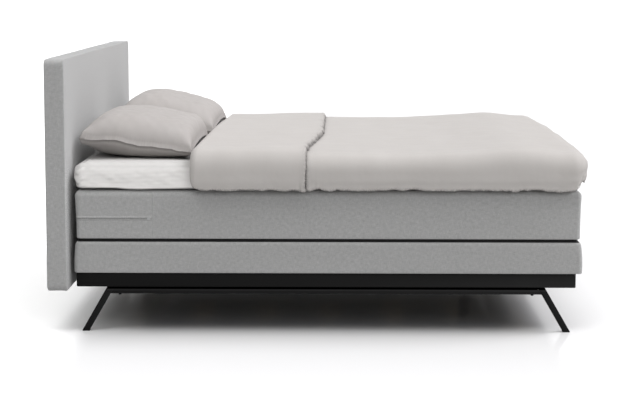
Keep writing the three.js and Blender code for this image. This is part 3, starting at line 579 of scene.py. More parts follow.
def slab_uv(points, faces, runs, perimeter, first, climb):
    """UV of each face's corners, in metres: the run and the climb on the side, whose rings start at
    the row first, and the plan on the upper and lower face."""
    rows, columns = points.shape[:2]
    wrapped = np.zeros((rows, columns, 2))
    wrapped[..., 0] = runs
    wrapped[first:first + len(climb), :, 1] = climb[:, None]
    on_side = wrapped.reshape(-1, 2)[faces]
    last_column = np.tile(np.arange(columns) == columns - 1, rows - 1)
    on_side[last_column, 1:3, 0] += perimeter
    in_plan = points[..., :2].reshape(-1, 2)[faces]
    face_row = np.repeat(np.arange(rows - 1), columns)
    of_side = (face_row >= first) & (face_row < first + len(climb) - 1)
    return np.where(of_side[:, None, None], on_side, in_plan)


def slab(
    name, length, width, corner, inset, level, runs, perimeter, place,
    shape=None, turn_under=None, felt=None,
):
    """A soft slab: rings of the rounded outline, each inset and at its level, closed by rings that shrink
    to the middle line of its upper and lower face by face_ring_shares. turn_under leaves the lower face
    open past that width. shape moves the side rings outwards, and place puts the points in the room. Below
    and above the two levels of felt the slab has its second material, which the box and the mattress use
    as painted shade for the gap between them."""
    x, y, normal_x, normal_y = outline_at(runs, length, width, corner)
    out = (shape(x, y, normal_x, normal_y, level) if shape else 0) - inset[:, None]
    out = np.maximum(out, -deepest_inset_share * corner)  # more would turn the corners inside out
    side_x = x + normal_x * out
    side_y = y + normal_y * out
    side = np.stack([side_x, side_y, np.broadcast_to(level[:, None], side_x.shape)], -1)
    spare_x = max(0, length - width) / 2
    spare_y = max(0, width - length) / 2
    middle_x = np.clip(x, -spare_x, spare_x)
    middle_y = np.clip(y, -spare_y, spare_y)
    shares = np.array(face_ring_shares)
    low_shares = shares[::-1]
    if turn_under:
        low_shares = 1 - turn_under * np.array([2, 1]) / min(length, width)
    low = face_rings(side[0], middle_x, middle_y, low_shares)
    top = face_rings(side[-1], middle_x, middle_y, shares)
    points = np.concatenate([low, side, top])
    faces = quads(*points.shape[:2], closed=True)
    climb = np.concatenate([[0], np.cumsum(np.hypot(np.diff(inset), np.diff(level)))])
    loop_uv = slab_uv(points, faces, runs, perimeter, len(low), climb)
    thing = make_mesh(name, place(points.reshape(-1, 3)), faces, loop_uv)
    if felt:
        middle_level = points[..., 2].reshape(-1)[faces].mean(axis=1)
        covered = (middle_level < felt[0]) | (middle_level > felt[1])
        thing.data.polygons.foreach_set("material_index", covered.astype(np.int32))
    close_poles(thing)
    return thing


# Node helpers

def add_node(tree, kind, inputs=None, **settings):
    """Adds a node. settings are its own properties; inputs gives a value or a socket by input name
    or number."""
    made = tree.nodes.new(kind)
    for key, value in settings.items():
        setattr(made, key, value)
    for key, value in (inputs or {}).items():
        if isinstance(value, bpy.types.NodeSocket):
            tree.links.new(value, made.inputs[key])
        else:
            made.inputs[key].default_value = value
    return made


def calculate(tree, operation, first, second=0.0, third=0.0):
    """One sum over up to three values or sockets."""
    inputs = {0: first, 1: second, 2: third}
    return add_node(tree, "ShaderNodeMath", inputs, operation=operation).outputs[0]


def times(tree, first, *others):
    """The product of values or sockets, multiplied one after another."""
    for other in others:
        first = calculate(tree, "MULTIPLY", first, other)
    return first


def less(tree, first, second):
    """The first value less the second."""
    return calculate(tree, "SUBTRACT", first, second)


def part_of(tree, vector, axis):
    """The X, Y or Z of a vector."""
    return add_node(tree, "ShaderNodeSeparateXYZ", {0: vector}).outputs[axis]


def noise(tree, vector, scale, detail=2.0, roughness=0.5):
    """Cloudy noise of 0 to 1, with scale clouds to a metre."""
    inputs = {"Vector": vector, "Scale": scale, "Detail": detail, "Roughness": roughness}
    return add_node(tree, "ShaderNodeTexNoise", inputs).outputs["Fac"]


def blend_colours(tree, share, first, second):
    """The first colour where share is 0, the second where it is 1, and their blend between."""
    mix = add_node(tree, "ShaderNodeMix", data_type="RGBA")
    for socket, value in ((mix.inputs[0], share), (mix.inputs[6], first), (mix.inputs[7], second)):
        if isinstance(value, bpy.types.NodeSocket):
            tree.links.new(value, socket)
        else:
            socket.default_value = value
    return mix.outputs[2]


def between_values(tree, value, low, high):
    """A value of 0 to 1 as low to high."""
    inputs = {"Value": value, "To Min": low, "To Max": high}
    return add_node(tree, "ShaderNodeMapRange", inputs).outputs["Result"]


def fade(tree, value, ends):
    """0 where the value is at the first end or beyond it, 1 at the second, and smooth between."""
    inputs = {"Value": value, "From Min": ends[0], "From Max": ends[1]}
    eased = add_node(tree, "ShaderNodeMapRange", inputs, interpolation_type="SMOOTHSTEP")
    return eased.outputs["Result"]


def new_group(name, inputs, outputs):
    """An empty node group with named sockets. inputs and outputs give each name its socket type."""
    group = bpy.data.node_groups.new(name, "ShaderNodeTree")
    for socket, kind in inputs.items():
        group.interface.new_socket(socket, in_out="INPUT", socket_type="NodeSocket" + kind)
    for socket, kind in outputs.items():
        group.interface.new_socket(socket, in_out="OUTPUT", socket_type="NodeSocket" + kind)
    start = group.nodes.new("NodeGroupInput")
    end = group.nodes.new("NodeGroupOutput")
    return group, start.outputs, end.inputs


def use_group(tree, group, inputs):
    """The outputs of a node group set into a tree."""
    return add_node(tree, "ShaderNodeGroup", inputs, node_tree=group).outputs


def weave_group():
    """Plain weave: warp and weft threads that pass over each other by turns. Height is the raised
    thread, and Yarn says how light each thread is along its length."""
    group, given, result = new_group(
        "plain_weave",
        {"Vector": "Vector", "Pitch": "Float"},
        {"Height": "Float", "Yarn": "Float"},
    )
    pitches = add_node(group, "ShaderNodeCombineXYZ", {"X": given["Pitch"], "Y": given["Pitch"], "Z": 1.0})
    scaled = {0: given["Vector"], 1: pitches.outputs[0]}
    grid = add_node(group, "ShaderNodeVectorMath", scaled, operation="DIVIDE").outputs[0]
    waves = [calculate(group, "SINE", times(group, part_of(group, grid, axis), math.pi)) for axis in "XY"]
    over = calculate(group, "GREATER_THAN", times(group, *waves), 0.0)
    warp, weft = (calculate(group, "ABSOLUTE", wave) for wave in waves)
    yarns = []
    for stretch in ((1.0, yarn_streak_share, 1.0), (yarn_streak_share, 1.0, 1.0)):
        drawn = add_node(group, "ShaderNodeVectorMath", {0: grid, 1: stretch}, operation="MULTIPLY")
        yarns.append(noise(group, drawn.outputs[0], 1.0, 1.0))
    for name, under, above in (("Height", weft, warp), ("Yarn", yarns[1], yarns[0])):
        woven = add_node(group, "ShaderNodeMix", {0: over, 2: under, 3: above}, data_type="FLOAT")
        group.links.new(woven.outputs[0], result[name])
    return group


def crumple_group():
    """Soft small creases of washed cotton: the sum of a broad and a fine unevenness."""
    group, given, result = new_group(
        "soft_creases",
        {"Vector": "Vector", "Size": "Float"},
        {"Height": "Float"},
    )
    size = calculate(group, "DIVIDE", 1.0, given["Size"])
    broad = noise(group, given["Vector"], size, 2.0)
    fine = noise(group, given["Vector"], times(group, size, fine_crease_ratio), 2.0)
    total = calculate(group, "MULTIPLY_ADD", fine, fine_crease_share, broad)
    group.links.new(total, result["Height"])
    return group


def gather_group():
    """Fine gathers by a seam: sharp small folds that die out with the distance from it. Shade is painted
    shade, darker in their creases and near the seam."""
    group, given, result = new_group(
        "seam_gathers",
        {"Vector": "Vector", "Distance": "Float"},
        {"Height": "Float", "Shade": "Float"},
    )
    small = noise(group, given["Vector"], gather_scale, 2.0, 0.6)
    ridge = calculate(group, "ABSOLUTE", less(group, small, 0.5))
    near = calculate(group, "EXPONENT", times(group, given["Distance"], -1 / gather_reach))
    group.links.new(times(group, ridge, near), result["Height"])
    crease = less(group, 1.0, calculate(group, "MINIMUM", times(group, ridge, gather_sharpness), 1.0))
    dark = calculate(group, "MULTIPLY_ADD", crease, gather_crease_painted_shade, gather_seam_painted_shade)
    group.links.new(less(group, 1.0, times(group, dark, near)), result["Shade"])
    return group


plain_weave = weave_group()
soft_creases = crumple_group()
seam_gathers = gather_group()


def new_material(name, roughness, **values):
    """A material with one Principled BSDF. values are plain numbers for its own sockets."""
    material = bpy.data.materials.new(name)
    material.use_nodes = True
    shader = material.node_tree.nodes["Principled BSDF"]
    shader.inputs["Roughness"].default_value = roughness
    for key, value in values.items():
        shader.inputs[key.replace("_", " ")].default_value = value
    return material, material.node_tree, shader


def bump(tree, shader, height, depth, strength=1.0):
    """Feeds a height of 0 to 1, that is depth metres tall, to the shader's normal."""
    made = add_node(tree, "ShaderNodeBump", {"Height": height, "Distance": depth, "Strength": strength})
    tree.links.new(made.outputs["Normal"], shader.inputs["Normal"])


def own_uv(tree):
    """Places on the cloth, laid flat, in metres."""
    return add_node(tree, "ShaderNodeUVMap", uv_map="UVMap").outputs["UV"]


def object_place(tree):
    """Places in the piece's own frame, in metres."""
    return add_node(tree, "ShaderNodeTexCoord").outputs["Object"]


def paint(tree, shader, colour, *tones):
    """Gives the shader a colour, multiplied by the product of the tones."""
    if tones:
        toned = {0: colour, "Scale": times(tree, *tones)}
        colour = add_node(tree, "ShaderNodeVectorMath", toned, operation="SCALE").outputs[0]
    tree.links.new(colour, shader.inputs["Base Color"])


def woven_grey():
    """Grey melange upholstery: light and dark yarns in a plain weave, mottled a little, with painted shade
    on its lower threads.
    """
    material, tree, shader = new_material("woven_grey", 0.95, Sheen_Weight=0.60, Sheen_Roughness=0.5)
    place = own_uv(tree)
    cloth = use_group(tree, plain_weave, {"Vector": place, "Pitch": weave_pitch})
    yarn = between_values(tree, cloth["Yarn"], *weave_yarn_contrast)
    colour = blend_colours(tree, yarn, weave_dark, weave_light)
    mottle = between_values(tree, noise(tree, place, weave_mottle_scale, 3.0, 0.65), *weave_mottle_tones)
    # painted shade on the weave's lower threads
    depth = between_values(tree, cloth["Height"], *weave_painted_shade_tones)
    paint(tree, shader, colour, times(tree, mottle, depth))
    bump(tree, shader, cloth["Height"], weave_depth, 0.6)
    return material


def bed_cotton(name, light, dark, crease, sheen, gather=0.0, under=cotton_under_painted_shade, over=1.0):
    """Smooth cotton: a fine weave, creases as high as crease, gathers by its seams as high as gather, and
    an uneven tone. Its colour has painted shade on the weave's lower threads and in the gathers' creases,
    and painted light and shade by which way it faces: it is multiplied by under where it faces down and by
    over where it faces up."""
    material, tree, shader = new_material(name, 0.85, Sheen_Weight=sheen, Sheen_Roughness=0.35)
    place = own_uv(tree)
    cloud = between_values(tree, noise(tree, place, cotton_cloud_scale, 3.0), *cotton_cloud_contrast)
    cloth = use_group(tree, plain_weave, {"Vector": place, "Pitch": cotton_pitch})
    # painted shade on the weave's lower threads
    tones = [between_values(tree, cloth["Height"], *cotton_painted_shade_tones)]
    creases = use_group(tree, soft_creases, {"Vector": place, "Size": cotton_crease_size})
    height = times(tree, creases["Height"], crease)
    if gather:
        distance = add_node(tree, "ShaderNodeAttribute", attribute_name="seam_distance").outputs["Fac"]
        gathers = use_group(tree, seam_gathers, {"Vector": place, "Distance": distance})
        height = calculate(tree, "MULTIPLY_ADD", gathers["Height"], gather, height)
        # painted shade of the gathers, weaker where they are lower
        tones.append(between_values(tree, gathers["Shade"], 1 - gather / gather_full, 1.0))
    # painted light and shade: the colour toned by which way the cloth faces
    upward = part_of(tree, add_node(tree, "ShaderNodeNewGeometry").outputs["Normal"], "Z")
    for facing, tone in ((cotton_under_facing, under), (cotton_over_facing, over)):
        tones.append(between_values(tree, fade(tree, upward, facing), 1.0, tone))
    paint(tree, shader, blend_colours(tree, cloud, dark, light), *tones)
    bump(tree, shader, height, 1.0)
    return material


def coated_black(name, colour, roughness, grain, depth, top_line=None):
    """Black coating with a fine grain in its surface and clouds in its gloss. top_line gives the heights
    where a painted highlight line starts and ends, and above it the piece has painted shade, dark and
    without gloss, for the dark of a gap."""
    material, tree, shader = new_material(name, roughness, Specular_IOR_Level=black_gloss)
    place = object_place(tree)
    cloud = noise(tree, place, black_cloud_scale, 3.0)
    tones = [between_values(tree, cloud, *black_cloud_tones)]
    # painted highlight along the top edge, and painted shade above it
    if top_line:
        height = part_of(tree, place, "Z")
        line = fade(tree, height, (top_line[0] - painted_highlight_blur, top_line[0]))
        below_gap = fade(tree, height, (top_line[1] + painted_highlight_blur, top_line[1]))
        tones += [between_values(tree, line, 1.0, painted_highlight_gain), below_gap]
        gloss = between_values(tree, below_gap, 0.0, black_gloss)
        tree.links.new(gloss, shader.inputs["Specular IOR Level"])
    paint(tree, shader, colour, *tones)
    rough = between_values(tree, cloud, *(roughness + spread for spread in black_roughness_spread))
    tree.links.new(rough, shader.inputs["Roughness"])
    bump(tree, shader, noise(tree, place, grain, 2.0), depth, 0.5)
    return material


def zinc():
    """Bright zinc plating, clouded a little."""
    material, tree, shader = new_material("zinc_plating", 0.35, Metallic=1.0)
    cloud_scale = 60.0
    dull = (0.42, 0.43, 0.45, 1)
    bright = (0.62, 0.62, 0.60, 1)
    least_rough, most_rough = 0.25, 0.5
    cloud = noise(tree, object_place(tree), cloud_scale, 3.0)
    paint(tree, shader, blend_colours(tree, cloud, dull, bright))
    rough = between_values(tree, cloud, least_rough, most_rough)
    tree.links.new(rough, shader.inputs["Roughness"])
    return material


def pine():
    """Planed pine: growth rings drawn out along the bed, the sine of a swirl of noise."""
    material, tree, shader = new_material("planed_pine", 0.6)
    along_the_bed = (0.12, 1.0, 1.0)
    swirl_scale = 9.0
    ring_density = 60.0
    ring_contrast = (0.2, 0.8)
    ring_height = 0.0003
    late_wood = (0.52, 0.35, 0.19, 1)
    early_wood = (0.66, 0.49, 0.29, 1)
    stretch = add_node(tree, "ShaderNodeMapping", {"Vector": object_place(tree), "Scale": along_the_bed})
    swirl = noise(tree, stretch.outputs[0], swirl_scale, 4.0)
    rings = calculate(tree, "SINE", times(tree, swirl, ring_density))
    share = between_values(tree, calculate(tree, "MULTIPLY_ADD", rings, 0.5, 0.5), *ring_contrast)
    paint(tree, shader, blend_colours(tree, share, late_wood, early_wood))
    bump(tree, shader, share, ring_height, 0.4)
    return material


def felt(name, dark, light, grain):
    """Pressed or foamed stuff: a fine, uneven grain, with grain spots to a metre."""
    material, tree, shader = new_material(name, 0.95)
    spots = noise(tree, object_place(tree), grain, 3.0, 0.7)
    paint(tree, shader, blend_colours(tree, spots, dark, light))
    bump(tree, shader, spots, felt_grain_height, 0.6)
    return material


finishes = {
    "grey_weave": woven_grey(),
    "white_sheet": bed_cotton(
        "white_cotton", light=(0.925, 0.910, 0.890, 1), dark=(0.905, 0.886, 0.863, 1),
        crease=0.0022, sheen=0.05, over=sheet_over_painted_shade,
    ),
    "greige_cotton": bed_cotton(
        "greige_cotton", light=(0.535, 0.512, 0.492, 1), dark=(0.512, 0.487, 0.466, 1),
        crease=0.0014, sheen=0.15, gather=0.008, under=duvet_under_painted_light,
    ),
    "black_steel": coated_black(
        "powder_coat", (0.006, 0.006, 0.006), roughness=0.42, grain=900.0, depth=0.0001,
        top_line=rail_painted_highlight_line,
    ),
    "black_lacquer": coated_black(
        "black_lacquer", (0.003, 0.003, 0.003), roughness=0.45, grain=500.0, depth=0.00005,
    ),
    "black_plastic": coated_black(
        "black_plastic", (0.016, 0.016, 0.016), roughness=0.55, grain=1500.0, depth=0.0001,
    ),
    "zinc_steel": zinc(),
    "timber": pine(),
    "black_cloth": felt(
        "black_felt", dark=(0.012, 0.012, 0.012, 1), light=(0.035, 0.035, 0.035, 1), grain=700.0,
    ),
    "spring_cloth": felt(
        "spring_cloth", dark=(0.62, 0.61, 0.58, 1), light=(0.75, 0.74, 0.70, 1), grain=300.0,
    ),
    "foam": felt("foam", dark=(0.66, 0.58, 0.40, 1), light=(0.78, 0.70, 0.52, 1), grain=500.0),
}
# the pillow cases are the duvet's cotton painted darker, painted shade from the headboard and the duvet
pillow_painted_shade_finish = bed_cotton(
    "pillow_cotton_painted_shade", light=(0.437, 0.414, 0.401, 1), dark=(0.413, 0.388, 0.372, 1),
    crease=0.0018, sheen=0.10, gather=0.0032,
)


def dress(thing, slot, body, finish=None, second=None):
    """Gives a new piece its finish, a second one where it has two, and its body."""
    if thing.data.materials:
        thing.data.materials.clear()
    thing.data.materials.append(finish or finishes[slot])
    if second:
        thing.data.materials.append(finishes[second])
    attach(thing, body)
    return thing


# Upholstered boxes and mattresses

def placed(middle_x, middle_y, bottom, turned=False):
    """Puts local points in the room, turned end for end where asked."""
    sign = -1 if turned else 1
    return lambda points: points * (sign, sign, 1) + (middle_x, middle_y, bottom)


def box_upholstery(side, sign):
    """Box cover: a slab that turns in below. Its sides swell by a wave and belly out by the sine of their
    height, and its ends flare a little to the lower edge. Its top is black cloth, painted shade for the
    gap under the mattress."""
    length = box_high[0] - box_low[0]
    height = box_high[2] - box_low[2]
    inset, level = edge_profile(height, box_bottom_edge, box_top_edge, spaced(0, height, row_step))
    runs, perimeter = outline_runs(length, half_width, box_corner, run_step)

    def shape(x, y, normal_x, normal_y, level):
        tall = level[:, None] / height
        belly = np.sin(math.pi * tall)
        flare = box_flare * np.abs(normal_x) * (1 - 2 * tall + box_end_belly * belly)
        swell = waving(x + swell_slant * y, level[:, None] * swell_climb, box_swell[side])
        return flare + (swell - box_inset) * belly

    thing = slab(
        f"box_upholstery_{side}", length, half_width, box_corner, inset, level, runs, perimeter,
        placed((box_low[0] + box_high[0]) / 2, sign * box_middle_y, box_low[2]),
        shape, box_turn_under, (-1, height - painted_gap_shade_edge),
    )
    add_wall(thing, cover_thickness)
    # second material: black cloth on the top, painted shade for the gap under the mattress
    dress(thing, "grey_weave", "base", second="black_cloth")
    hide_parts(f"box_cover_{side}")


def under_cloth(side):
    """Black cloth over a box's open underside: a flat sheet, tucked behind the turned-in cover and
    sagging a little by a wave."""
    low, high = extent(f"box_under_cloth_{side}")
    x = spaced(low[0] - dust_cloth_tuck, high[0] + dust_cloth_tuck, dust_cloth_step)
    y = spaced(low[1] - dust_cloth_tuck, high[1] + dust_cloth_tuck, dust_cloth_step)
    grid_x, grid_y = np.meshgrid(x, y, indexing="ij")
    z = low[2] + dust_cloth_rise + waving(grid_x, grid_y, dust_cloth_sag)
    points = np.stack([grid_x, grid_y, z], -1)
    faces = quads(len(x), len(y))
    uv = points[..., :2].reshape(-1, 2)[faces]
    thing = make_mesh(f"dust_cloth_{side}", points, faces, uv)
    add_wall(thing, dust_cloth_thickness)
    dress(thing, "black_cloth", "base")
    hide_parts(f"box_under_cloth_{side}")


def placket_relief(drop, from_head):
    """How far the placket stands out by the height above its lip and the distance from the head
    end: a lip that stands proud and a strip below it that is sunk, each eased back to the cover, and
    a stitched line, a bell of the height. All of them end at the placket's end."""
    lip = placket_proud * smooth(1 - drop / lip_reach) * (drop > 0)
    sunk = -placket_sunk * smooth(1 + drop / sunk_reach) * (drop <= 0)
    stitch = -stitch_depth * bell(drop + stitch_drop, stitch_width)
    return (lip + sunk + stitch) * smooth((placket_end - from_head) / placket_end_reach)


def upright_seam_relief(from_head):
    """The seam just past the placket's end: a groove with a low ridge beside it, both bells of the
    distance from the head end."""
    past_placket = from_head - placket_end
    groove = -seam_depth * bell(past_placket - seam_place, seam_width)
    return groove + seam_ridge * bell(past_placket - seam_ridge_place, seam_ridge_width)


def mattress_ticking(side, sign):
    """Mattress cover: a slab whose outer side has a placket over its zip and an upright seam at the
    placket's end. Its sides swell by a wave times the sine of their height, and its ends lean out in
    proportion to their height. Below its recess it is black cloth, painted shade for the gap over the box."""
    length = mattress_high[0] - mattress_low[0]
    height = mattress_high[2] - mattress_low[2]
    fine = np.arange(placket_lip - 0.020, placket_lip + 0.018, placket_step)
    rows = np.unique(np.round(np.concatenate([spaced(0, height, row_step), fine]), 5))
    inset, level = edge_profile(height, mattress_bottom_edge, mattress_top_edge, rows, 7, mattress_recess)
    seam = placket_end - mattress_corner + np.arange(-0.012, 0.0125, seam_step)
    runs, perimeter = outline_runs(length, half_width, mattress_corner, run_step, 8, seam)

    def shape(x, y, normal_x, normal_y, level):
        tall = level[:, None]
        swell = waving(x + swell_slant * y, tall * swell_climb, mattress_swell[side]) - mattress_inset
        from_head = x + length / 2
        outer_side = smooth((-normal_y - side_turn[0]) / side_turn[1])
        relief = placket_relief(tall - placket_lip, from_head) + upright_seam_relief(from_head)
        lean = mattress_lean * np.abs(normal_x) * (tall / height - mattress_lean_start)
        return swell * np.sin(math.pi * tall / height) + outer_side * relief + lean

    thing = slab(
        f"mattress_ticking_{side}", length, half_width, mattress_corner, inset, level, runs, perimeter,
        placed(bed_middle_x, sign * box_middle_y, mattress_low[2], turned=sign > 0),
        shape, felt=(mattress_recess[1], height + 1),
    )
    # second material: black cloth below the recess, painted shade for the gap over the box
    dress(thing, "grey_weave", "mattresses", second="black_cloth")
    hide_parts(f"mattress_cover_{side}")


def headboard_upholstery():
    """Headboard cover: a slab stood upright, its sides uneven by a wave, and its front sunk by a step
    eased in towards its rim, so that it is crowned a little."""
    tall = headboard_high[2] - headboard_low[2]
    wide = headboard_high[1] - headboard_low[1]
    thick = headboard_high[0] - headboard_low[0]
    inset, level = edge_profile(thick, headboard_edge, headboard_edge, spaced(0, thick, 0.01))
    runs, perimeter = outline_runs(tall, wide, headboard_corner, run_step)

    def shape(x, y, normal_x, normal_y, level):
        climb = level[:, None] * headboard_swell_climb
        return waving(x + swell_slant * y, climb, headboard_swell) - headboard_inset

    def place(points):
        x, y, z = points.T
        from_rim = np.minimum(tall / 2 - np.abs(x), wide / 2 - np.abs(y))
        crown = -headboard_crown * (1 - smooth(from_rim / headboard_crown_reach))
        crown = crown - headboard_front_inset + waving(x, y, headboard_front_swell)
        front = np.where(z > thick - millimetre, crown, 0)
        middle_z = (headboard_low[2] + headboard_high[2]) / 2
        return np.stack([headboard_low[0] + z + front, y, middle_z - x], -1)

    thing = slab(
        "headboard_upholstery", tall, wide, headboard_corner, inset, level, runs, perimeter, place, shape,
    )
    dress(thing, "grey_weave", "base")
    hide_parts("headboard_cover")


def headboard_layer(node, name, slot):
    """The headboard's panel or its pad: an upright slab with the cover's corners."""
    low, high = extent(node)
    low, high = low + layer_clearance, high - layer_clearance
    thick, wide, tall = high - low
    corner = headboard_corner - (low[2] - headboard_low[2])
    inset, level = edge_profile(thick, headboard_edge, headboard_edge, spaced(0, thick, 0.02), 4)
    runs, perimeter = outline_runs(tall, wide, corner, 0.1, 5)

    def place(points):
        x, y, z = points.T
        return np.stack([low[0] + z, y, (low[2] + high[2]) / 2 - x], -1)

    thing = slab(name, tall, wide, corner, inset, level, runs, perimeter, place)
    dress(thing, slot, "base")
    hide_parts(node)
    return thing


# Topper and fitted sheet

def topper_shape(growth):
    """Length, width, height, corner and edges of the topper, grown all round."""
    length = topper_high[0] - topper_low[0] + 2 * growth
    width = topper_high[1] - topper_low[1] + 2 * growth
    height = topper_high[2] - topper_low[2] + 2 * growth
    low_edge = tuple(edge + growth for edge in sheet_bottom_edge)
    high_edge = tuple(edge + growth for edge in sheet_top_edge)
    return length, width, height, topper_corner + growth, low_edge, high_edge


def topper_core():
    """The foam under the sheet: the topper's slab, cut away in a straight slant up its lower edge,
    and its underside lifted by a step eased in towards the rim, so that the sheet's hem is turned
    in below it and hides it."""
    length, width, height, corner, _, high_edge = topper_shape(-foam_shrink)
    inset, level = edge_profile(height, foam_low_edge, high_edge, spaced(0, height, 0.01), 5)
    tuck = sheet_tuck(height)
    undercut = foam_inset + foam_undercut[0] * np.clip(1 - level / foam_undercut[1], 0, 1)
    runs, perimeter = outline_runs(length, width, corner, 0.05, 6)
    on_bed = placed(bed_middle_x, 0, topper_low[2] + foam_shrink)

    def shape(x, y, normal_x, normal_y, level):
        return tuck(normal_x, level) - undercut[:, None]

    def place(points):
        x, y, z = points.T
        from_rim = np.minimum(length / 2 - np.abs(x), width / 2 - np.abs(y))
        near_rim = smooth((foam_lift_reach[0] - from_rim) / (foam_lift_reach[0] - foam_lift_reach[1]))
        lift = foam_edge_lift * near_rim * np.clip(1 - z / foam_lift_height, 0, 1)
        return on_bed(np.stack([x, y, z + lift], -1))

    thing = slab("topper_foam", length, width, corner, inset, level, runs, perimeter, place, shape)
    dress(thing, "foam", "topper")
    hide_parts("topper")


def sheet_tuck(height):
    """How far the topper's ends belly out, by the sine of half a turn times a power of their height,
    and how far its side is drawn in towards its lower edge, by a power of how low it lies, more so
    at its ends."""
    def tuck(normal_x, level):
        tall = np.clip(level[:, None] / height, 0, 1)
        low = (1 - np.clip(tall / sheet_tuck_share, 0, 1)) ** sheet_tuck_power
        belly = np.sin(math.pi * tall ** sheet_belly_power)
        return np.abs(normal_x) * (sheet_belly * belly - sheet_low_tuck * low) - sheet_low_inset * low

    return tuck


def fitted_sheet():
    """Fitted sheet: the topper's slab with uneven soft creases, diagonal folds and ripples that are
    sines of the distance from its corners and die out with it, and a lower edge that lifts here and
    there, by a bell of its height. It is open below inside its turned-under hem."""
    growth = (sheet_high[0] - sheet_low[0] - topper_high[0] + topper_low[0]) / 2 - sheet_clearance
    length, width, height, corner, low_edge, high_edge = topper_shape(growth)
    inset, level = edge_profile(height, low_edge, high_edge, spaced(0, height, 0.004), 10)
    runs, perimeter = outline_runs(length, width, corner, 0.010, 12)
    tuck = sheet_tuck(height)

    def from_corner(x, y):
        """Distance from the nearest corner, seen from above."""
        return np.hypot(length / 2 - np.abs(x), width / 2 - np.abs(y))

    def shape(x, y, normal_x, normal_y, level):
        tall = level[:, None]
        slants = ((sheet_broad_crease, sheet_broad_slant), (sheet_fine_crease, sheet_fine_slant))
        soft = sum(waving(x + across * y, tall * up, crease) for crease, (across, up) in slants)
        far = from_corner(x, y)
        slanted = far + sheet_corner_fold_slant * (height - tall)
        fold = np.sin(slanted * full_turn / sheet_corner_fold_pitch)
        folds = sheet_corner_fold * fading(far, sheet_corner_reach) * fold
        held = np.sin(math.pi * np.clip(tall / height, 0, 1)) ** 0.5
        return tuck(normal_x, level) + (soft + folds) * held - sheet_inset

    def place(points):
        x, y, z = points.T
        rise = sheet_mean_rise_share + waving(x + sheet_hem_slant * y, 0 * y, sheet_hem_rise)
        rise = sheet_rise * np.clip(rise, 0, 1) * bell(z, sheet_rise_height)
        far = from_corner(x, y)
        ripple = sheet_top_ripple * fading(far, sheet_top_ripple_reach)
        ripple = ripple * np.sin(far * full_turn / sheet_top_ripple_pitch)
        top = waving(x, y, sheet_top_crease) - sheet_inset + ripple
        lifted = z + rise + np.where(z > height - sheet_top_depth, top, 0)
        return np.stack([x + bed_middle_x, y, lifted + sheet_low[2] + sheet_clearance], -1)

    thing = slab(
        "sheet_cloth", length, width, corner, inset, level, runs, perimeter, place, shape,
        sheet_turn_under,
    )
    add_wall(thing, sheet_thickness)
    dress(thing, "white_sheet", "topper")
    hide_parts("fitted_sheet")


# Duvet

flat_foot = sheet_high[0] + duvet_foot_gap - duvet_bend
flat_side = sheet_high[1] + duvet_side_gap - duvet_bend
bend_length = duvet_bend * quarter_turn
foot_hang = duvet_foot_drop - duvet_bend + bend_length
side_hang = duvet_side_drop - duvet_bend + bend_length
nose_x = duvet_low[0] + nose_slope * (flat_side + duvet_bend)
flat_length = flat_foot - nose_x
half_across = flat_side + side_hang
full_along = flat_length + foot_hang


def drape(along, across, lift):
    """Puts a point of the duvet in the room. along runs from the head fold over the foot edge, across
    from the middle over a side edge, and lift is square to the bed's surface: flat on the sheet,
    then a quarter turn over its edge, then straight down."""
    sign = np.sign(across)
    sideways = np.maximum(0, np.abs(across) - flat_side)
    footwards = np.maximum(0, along - flat_length)
    spread = (sideways ** corner_power + footwards ** corner_power) ** (1 / corner_power)
    corner_share = (sideways / side_hang) * (footwards / foot_hang)
    fold_corner = fold_corner_lift * bell(along, fold_corner_reach)
    hang = spread * (1 - corner_rise_share * corner_share - fold_corner * smooth(sideways / side_hang))
    angle = np.minimum(hang / duvet_bend, quarter_turn)
    below = np.maximum(0, hang - bend_length)
    reach = (duvet_bend + lift) * np.sin(angle)
    turn = np.hypot(sideways, footwards)
    turn = np.where(turn > 0, turn, 1)
    askew = np.clip(along / duvet_fold_depth, 0, 1)
    run = np.clip((along - duvet_fold_depth) / (flat_length - duvet_fold_depth), 0, 1)
    y = sign * (np.minimum(np.abs(across), flat_side) + reach * sideways / turn)
    sweep = hem_sweep * smooth((y + half_width) / hem_sweep_reach) - hem_near_setback
    skew = between(between(nose_slope * y, sweep, askew), 0, smooth(run))
    x = nose_x + np.minimum(along, flat_length) + reach * footwards / turn + skew
    z = sheet_high[2] + duvet_rest - duvet_bend + (duvet_bend + lift) * np.cos(angle) - below
    return np.stack([x, y, z], -1)


def round_edge(distance, rim):
    """How full a padded piece is at a distance from its seam: a quarter circle, rim long."""
    return np.sqrt(1 - (1 - np.clip(distance / rim, 0, 1)) ** 2)


